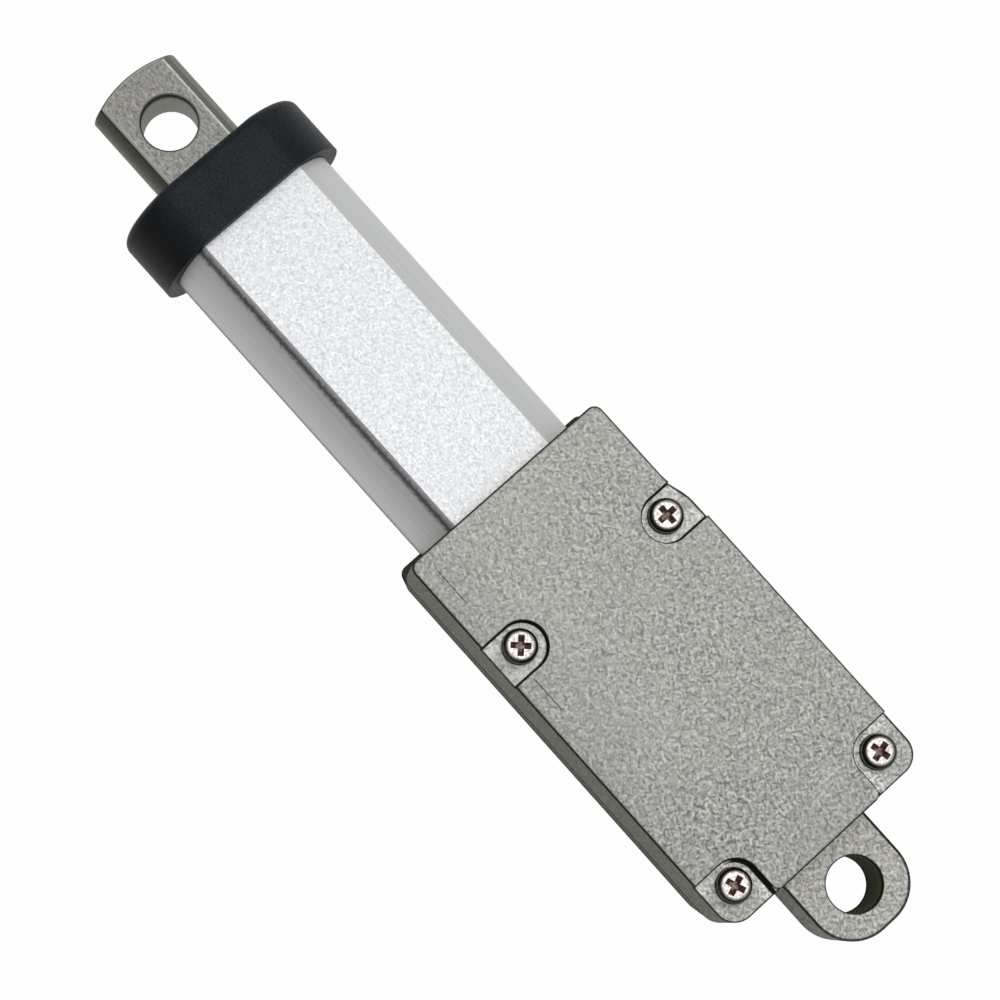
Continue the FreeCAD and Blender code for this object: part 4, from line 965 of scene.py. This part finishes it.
# %% Press the cross into the head
CROSS_SPAN, CROSS_WIDTH, CROSS_DEPTH = 1.46, 0.44, 0.85
CROSS_SUNK = 0.45
SPAN_TAPER, WIDTH_TAPER = 0.45, 0.6
SMOOTH_BELOW = math.radians(35)
ARMS = {
    (CROSS_SPAN, CROSS_WIDTH, CROSS_DEPTH): (SPAN_TAPER, WIDTH_TAPER, 1.0),
    (CROSS_WIDTH, CROSS_SPAN, CROSS_DEPTH): (WIDTH_TAPER, SPAN_TAPER, 1.0),
}
middle = high.z - CROSS_DEPTH * CROSS_SUNK
screw.data.materials.append(plated)
for size, taper in ARMS.items():
    bpy.ops.object.select_all(action="DESELECT")
    bpy.ops.mesh.primitive_cube_add(size=MM, location=(0, 0, middle * MM), scale=size)
    punch = bpy.context.object
    punch.data.materials.append(recess)
    select_where(punch, "FACE", lambda face: face.normal.z < -0.5)
    bpy.ops.transform.resize(value=taper, center_override=(0, 0, (middle - CROSS_DEPTH / 2) * MM))
    bpy.ops.object.mode_set(mode="OBJECT")
    combine(screw, punch, "DIFFERENCE")
make_active(screw)
bpy.ops.object.shade_smooth_by_angle(angle=SMOOTH_BELOW)
print("cross:", CROSS_SPAN, "mm across in a head of", 2 * HEAD, "mm")

# %% [markdown]
# ## Screws in their corners
# Four screws that were driven in never stop at the same turn. They could share one mesh, but each is a
# copy with a mesh of its own, turned as its cross shows. The move is then written into the mesh's
# points, so that the piece itself stays at the origin, like the nodes of the frame.

# %% Set a piece in place
def set_in_place(made, place):
    """Moves and turns a piece, and writes that into its points."""
    made.matrix_world = place
    make_active(made)
    bpy.ops.object.transform_apply(location=True, rotation=True, scale=True)


def set_copy(made, name, place):
    """A copy of a piece with its own mesh, set in place."""
    piece = made.copy()
    piece.data = made.data.copy()
    piece.name = piece.data.name = name
    bpy.context.scene.collection.objects.link(piece)
    set_in_place(piece, place)
    return piece


print("ready to set copies")

# %% Set four screws
SCREW_TURNS = {"front_left": 45, "front_right": 0, "rear_left": 20, "rear_right": 14}

for corner, degrees in SCREW_TURNS.items():
    x = high.x - HEAD if corner.startswith("front") else low.x + HEAD
    y = high.y - HEAD if corner.endswith("left") else low.y + HEAD
    place = Matrix.Translation((x * MM, y * MM, 0)) @ Matrix.Rotation(math.radians(degrees), 4, "Z")
    piece = set_copy(screw, "cover_screw_" + corner, place)
    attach(piece, "casing")
    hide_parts("cover_screws")
bpy.data.objects.remove(screw)
print("screws:", len(SCREW_TURNS))

# %% [markdown]
# ## Lead screw
# The lead screw pushes the rod: one turn moves the nut by the thread's lead. The bar is grown like the
# cover screws. Its ridge is one flat outline, swept round the axis and forward at once by a Screw
# modifier, which is what the tool does on the lathe, and then joined to the bar.

# %% Draw the ridge
LEAD, THREAD_TURNS, THREAD_STEPS = 2.0, 13, 32
RIDGE_FOOT, RIDGE_TOP, RIDGE_BASE, RIDGE_CREST = 1.40, 1.97, 1.25, 0.6
THREAD_START = 32.4

bpy.ops.object.select_all(action="DESELECT")
bpy.ops.mesh.primitive_plane_add(size=MM)
ridge = bpy.context.object
bpy.ops.object.mode_set(mode="EDIT")
bpy.ops.transform.resize(value=(RIDGE_TOP - RIDGE_FOOT, RIDGE_BASE, 1))
select_where(ridge, "VERT", lambda corner: corner.co.x > 0)
bpy.ops.transform.resize(value=(1, RIDGE_CREST / RIDGE_BASE, 1), center_override=(0, 0, 0))
bpy.ops.mesh.select_all(action="SELECT")
bpy.ops.transform.rotate(value=math.radians(90), orient_axis="X", center_override=(0, 0, 0))
bpy.ops.transform.translate(value=((RIDGE_FOOT + RIDGE_TOP) / 2 * MM, 0, THREAD_START * MM))
bpy.ops.mesh.delete(type="ONLY_FACE")
bpy.ops.object.mode_set(mode="OBJECT")
print("ridge:", RIDGE_BASE, "mm wide at its foot and", RIDGE_CREST, "mm at its crest")

# %% Sweep it round the bar
BAR_STEPS = [(25.0, 0.86), (25.12, 0.98), (28.249, 0.98), (28.25, 1.48), (30.799, 1.48), (30.8, 2.2),
             (31.399, 2.2), (31.4, 1.52), (58.6, 1.52), (59.0, 1.2)]
BAR_POINTS = 48
RIDGE_CORNERS = 4

make_active(ridge)
bpy.ops.object.modifier_add(type="SCREW")
sweep = ridge.modifiers[-1]
sweep.screw_offset = LEAD * MM
sweep.iterations = THREAD_TURNS
sweep.steps = sweep.render_steps = THREAD_STEPS
bpy.ops.object.modifier_apply(modifier=sweep.name)
bpy.ops.object.mode_set(mode="EDIT")
bpy.ops.mesh.select_all(action="SELECT")
bpy.ops.mesh.fill_holes(sides=RIDGE_CORNERS)
bpy.ops.mesh.normals_make_consistent(inside=False)
bpy.ops.object.mode_set(mode="OBJECT")
bar = grow("lead_screw_threaded", BAR_STEPS, BAR_POINTS)
combine(bar, ridge, "UNION")
set_in_place(bar, Matrix.Rotation(math.radians(90), 4, "Y"))
bpy.ops.object.shade_smooth_by_angle(angle=SMOOTH_BELOW)
bar.data.materials.clear()
bar.data.materials.append(steel)
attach(bar, "screw")
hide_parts("lead_screw")
print("thread:", THREAD_TURNS, "turns of", LEAD, "mm,", len(bar.data.polygons), "faces")

# %% [markdown]
# ## Windings
# The motor's armature has three poles, each wound with fine enamelled wire. A coil is a stack of
# round-ended layers, so it is grown layer by layer from a disc pulled apart into a slot shape, with a
# shallow groove between layers, and the pole's neck is cut out of its middle.

# %% Wind a coil
COIL_INNER, COIL_OUTER, COIL_ROUND, COIL_STRAIGHT = 1.62, 2.66, 1.42, 6.2
COIL_LAYERS, COIL_GROOVE, GROOVE_FLOOR = 6, 0.1, 0.02
COIL_POINTS, COIL_MIDDLE = 40, 0.02
NECK_LENGTH, NECK_WIDTH = 8.04, 1.66
COIL_SMOOTH_BELOW = math.radians(50)

layer = (COIL_OUTER - COIL_INNER) / COIL_LAYERS
coil_steps = []
for number in range(COIL_LAYERS):
    foot = COIL_INNER + number * layer
    coil_steps += [(foot + GROOVE_FLOOR, COIL_ROUND - COIL_GROOVE), (foot + layer / 2, COIL_ROUND)]
coil_steps.append((COIL_OUTER, COIL_ROUND - COIL_GROOVE))
coil = grow("coil", coil_steps, COIL_POINTS)
for side in (-1, 1):
    select_where(coil, "VERT", lambda corner: corner.co.x * side > COIL_MIDDLE * MM)
    bpy.ops.transform.translate(value=(side * COIL_STRAIGHT / 2 * MM, 0, 0))
bpy.ops.object.mode_set(mode="OBJECT")
coil.data.materials.append(enamel)
bpy.ops.object.select_all(action="DESELECT")
neck_size = (NECK_LENGTH, NECK_WIDTH, 2 * COIL_OUTER)
bpy.ops.mesh.primitive_cube_add(size=MM, location=(0, 0, COIL_OUTER * MM), scale=neck_size)
neck = bpy.context.object
neck.data.materials.append(enamel)
combine(coil, neck, "DIFFERENCE")
make_active(coil)
bpy.ops.object.shade_smooth_by_angle(angle=COIL_SMOOTH_BELOW)
print("coil:", COIL_LAYERS, "layers,", len(coil.data.polygons), "faces")

# %% Set a coil on each pole
ARMATURE_MIDDLE, POLES, FIRST_POLE = 14.5, 3, -90
for number in range(POLES):
    turn = math.radians(360 / POLES * number + FIRST_POLE)
    place = Matrix.Translation((ARMATURE_MIDDLE * MM, 0, 0)) @ Matrix.Rotation(turn, 4, "X")
    piece = set_copy(coil, "motor_winding_" + str(number + 1), place)
    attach(piece, "rotor")
bpy.data.objects.remove(coil)
print("windings:", POLES, "coils of", COIL_LAYERS, "layers")
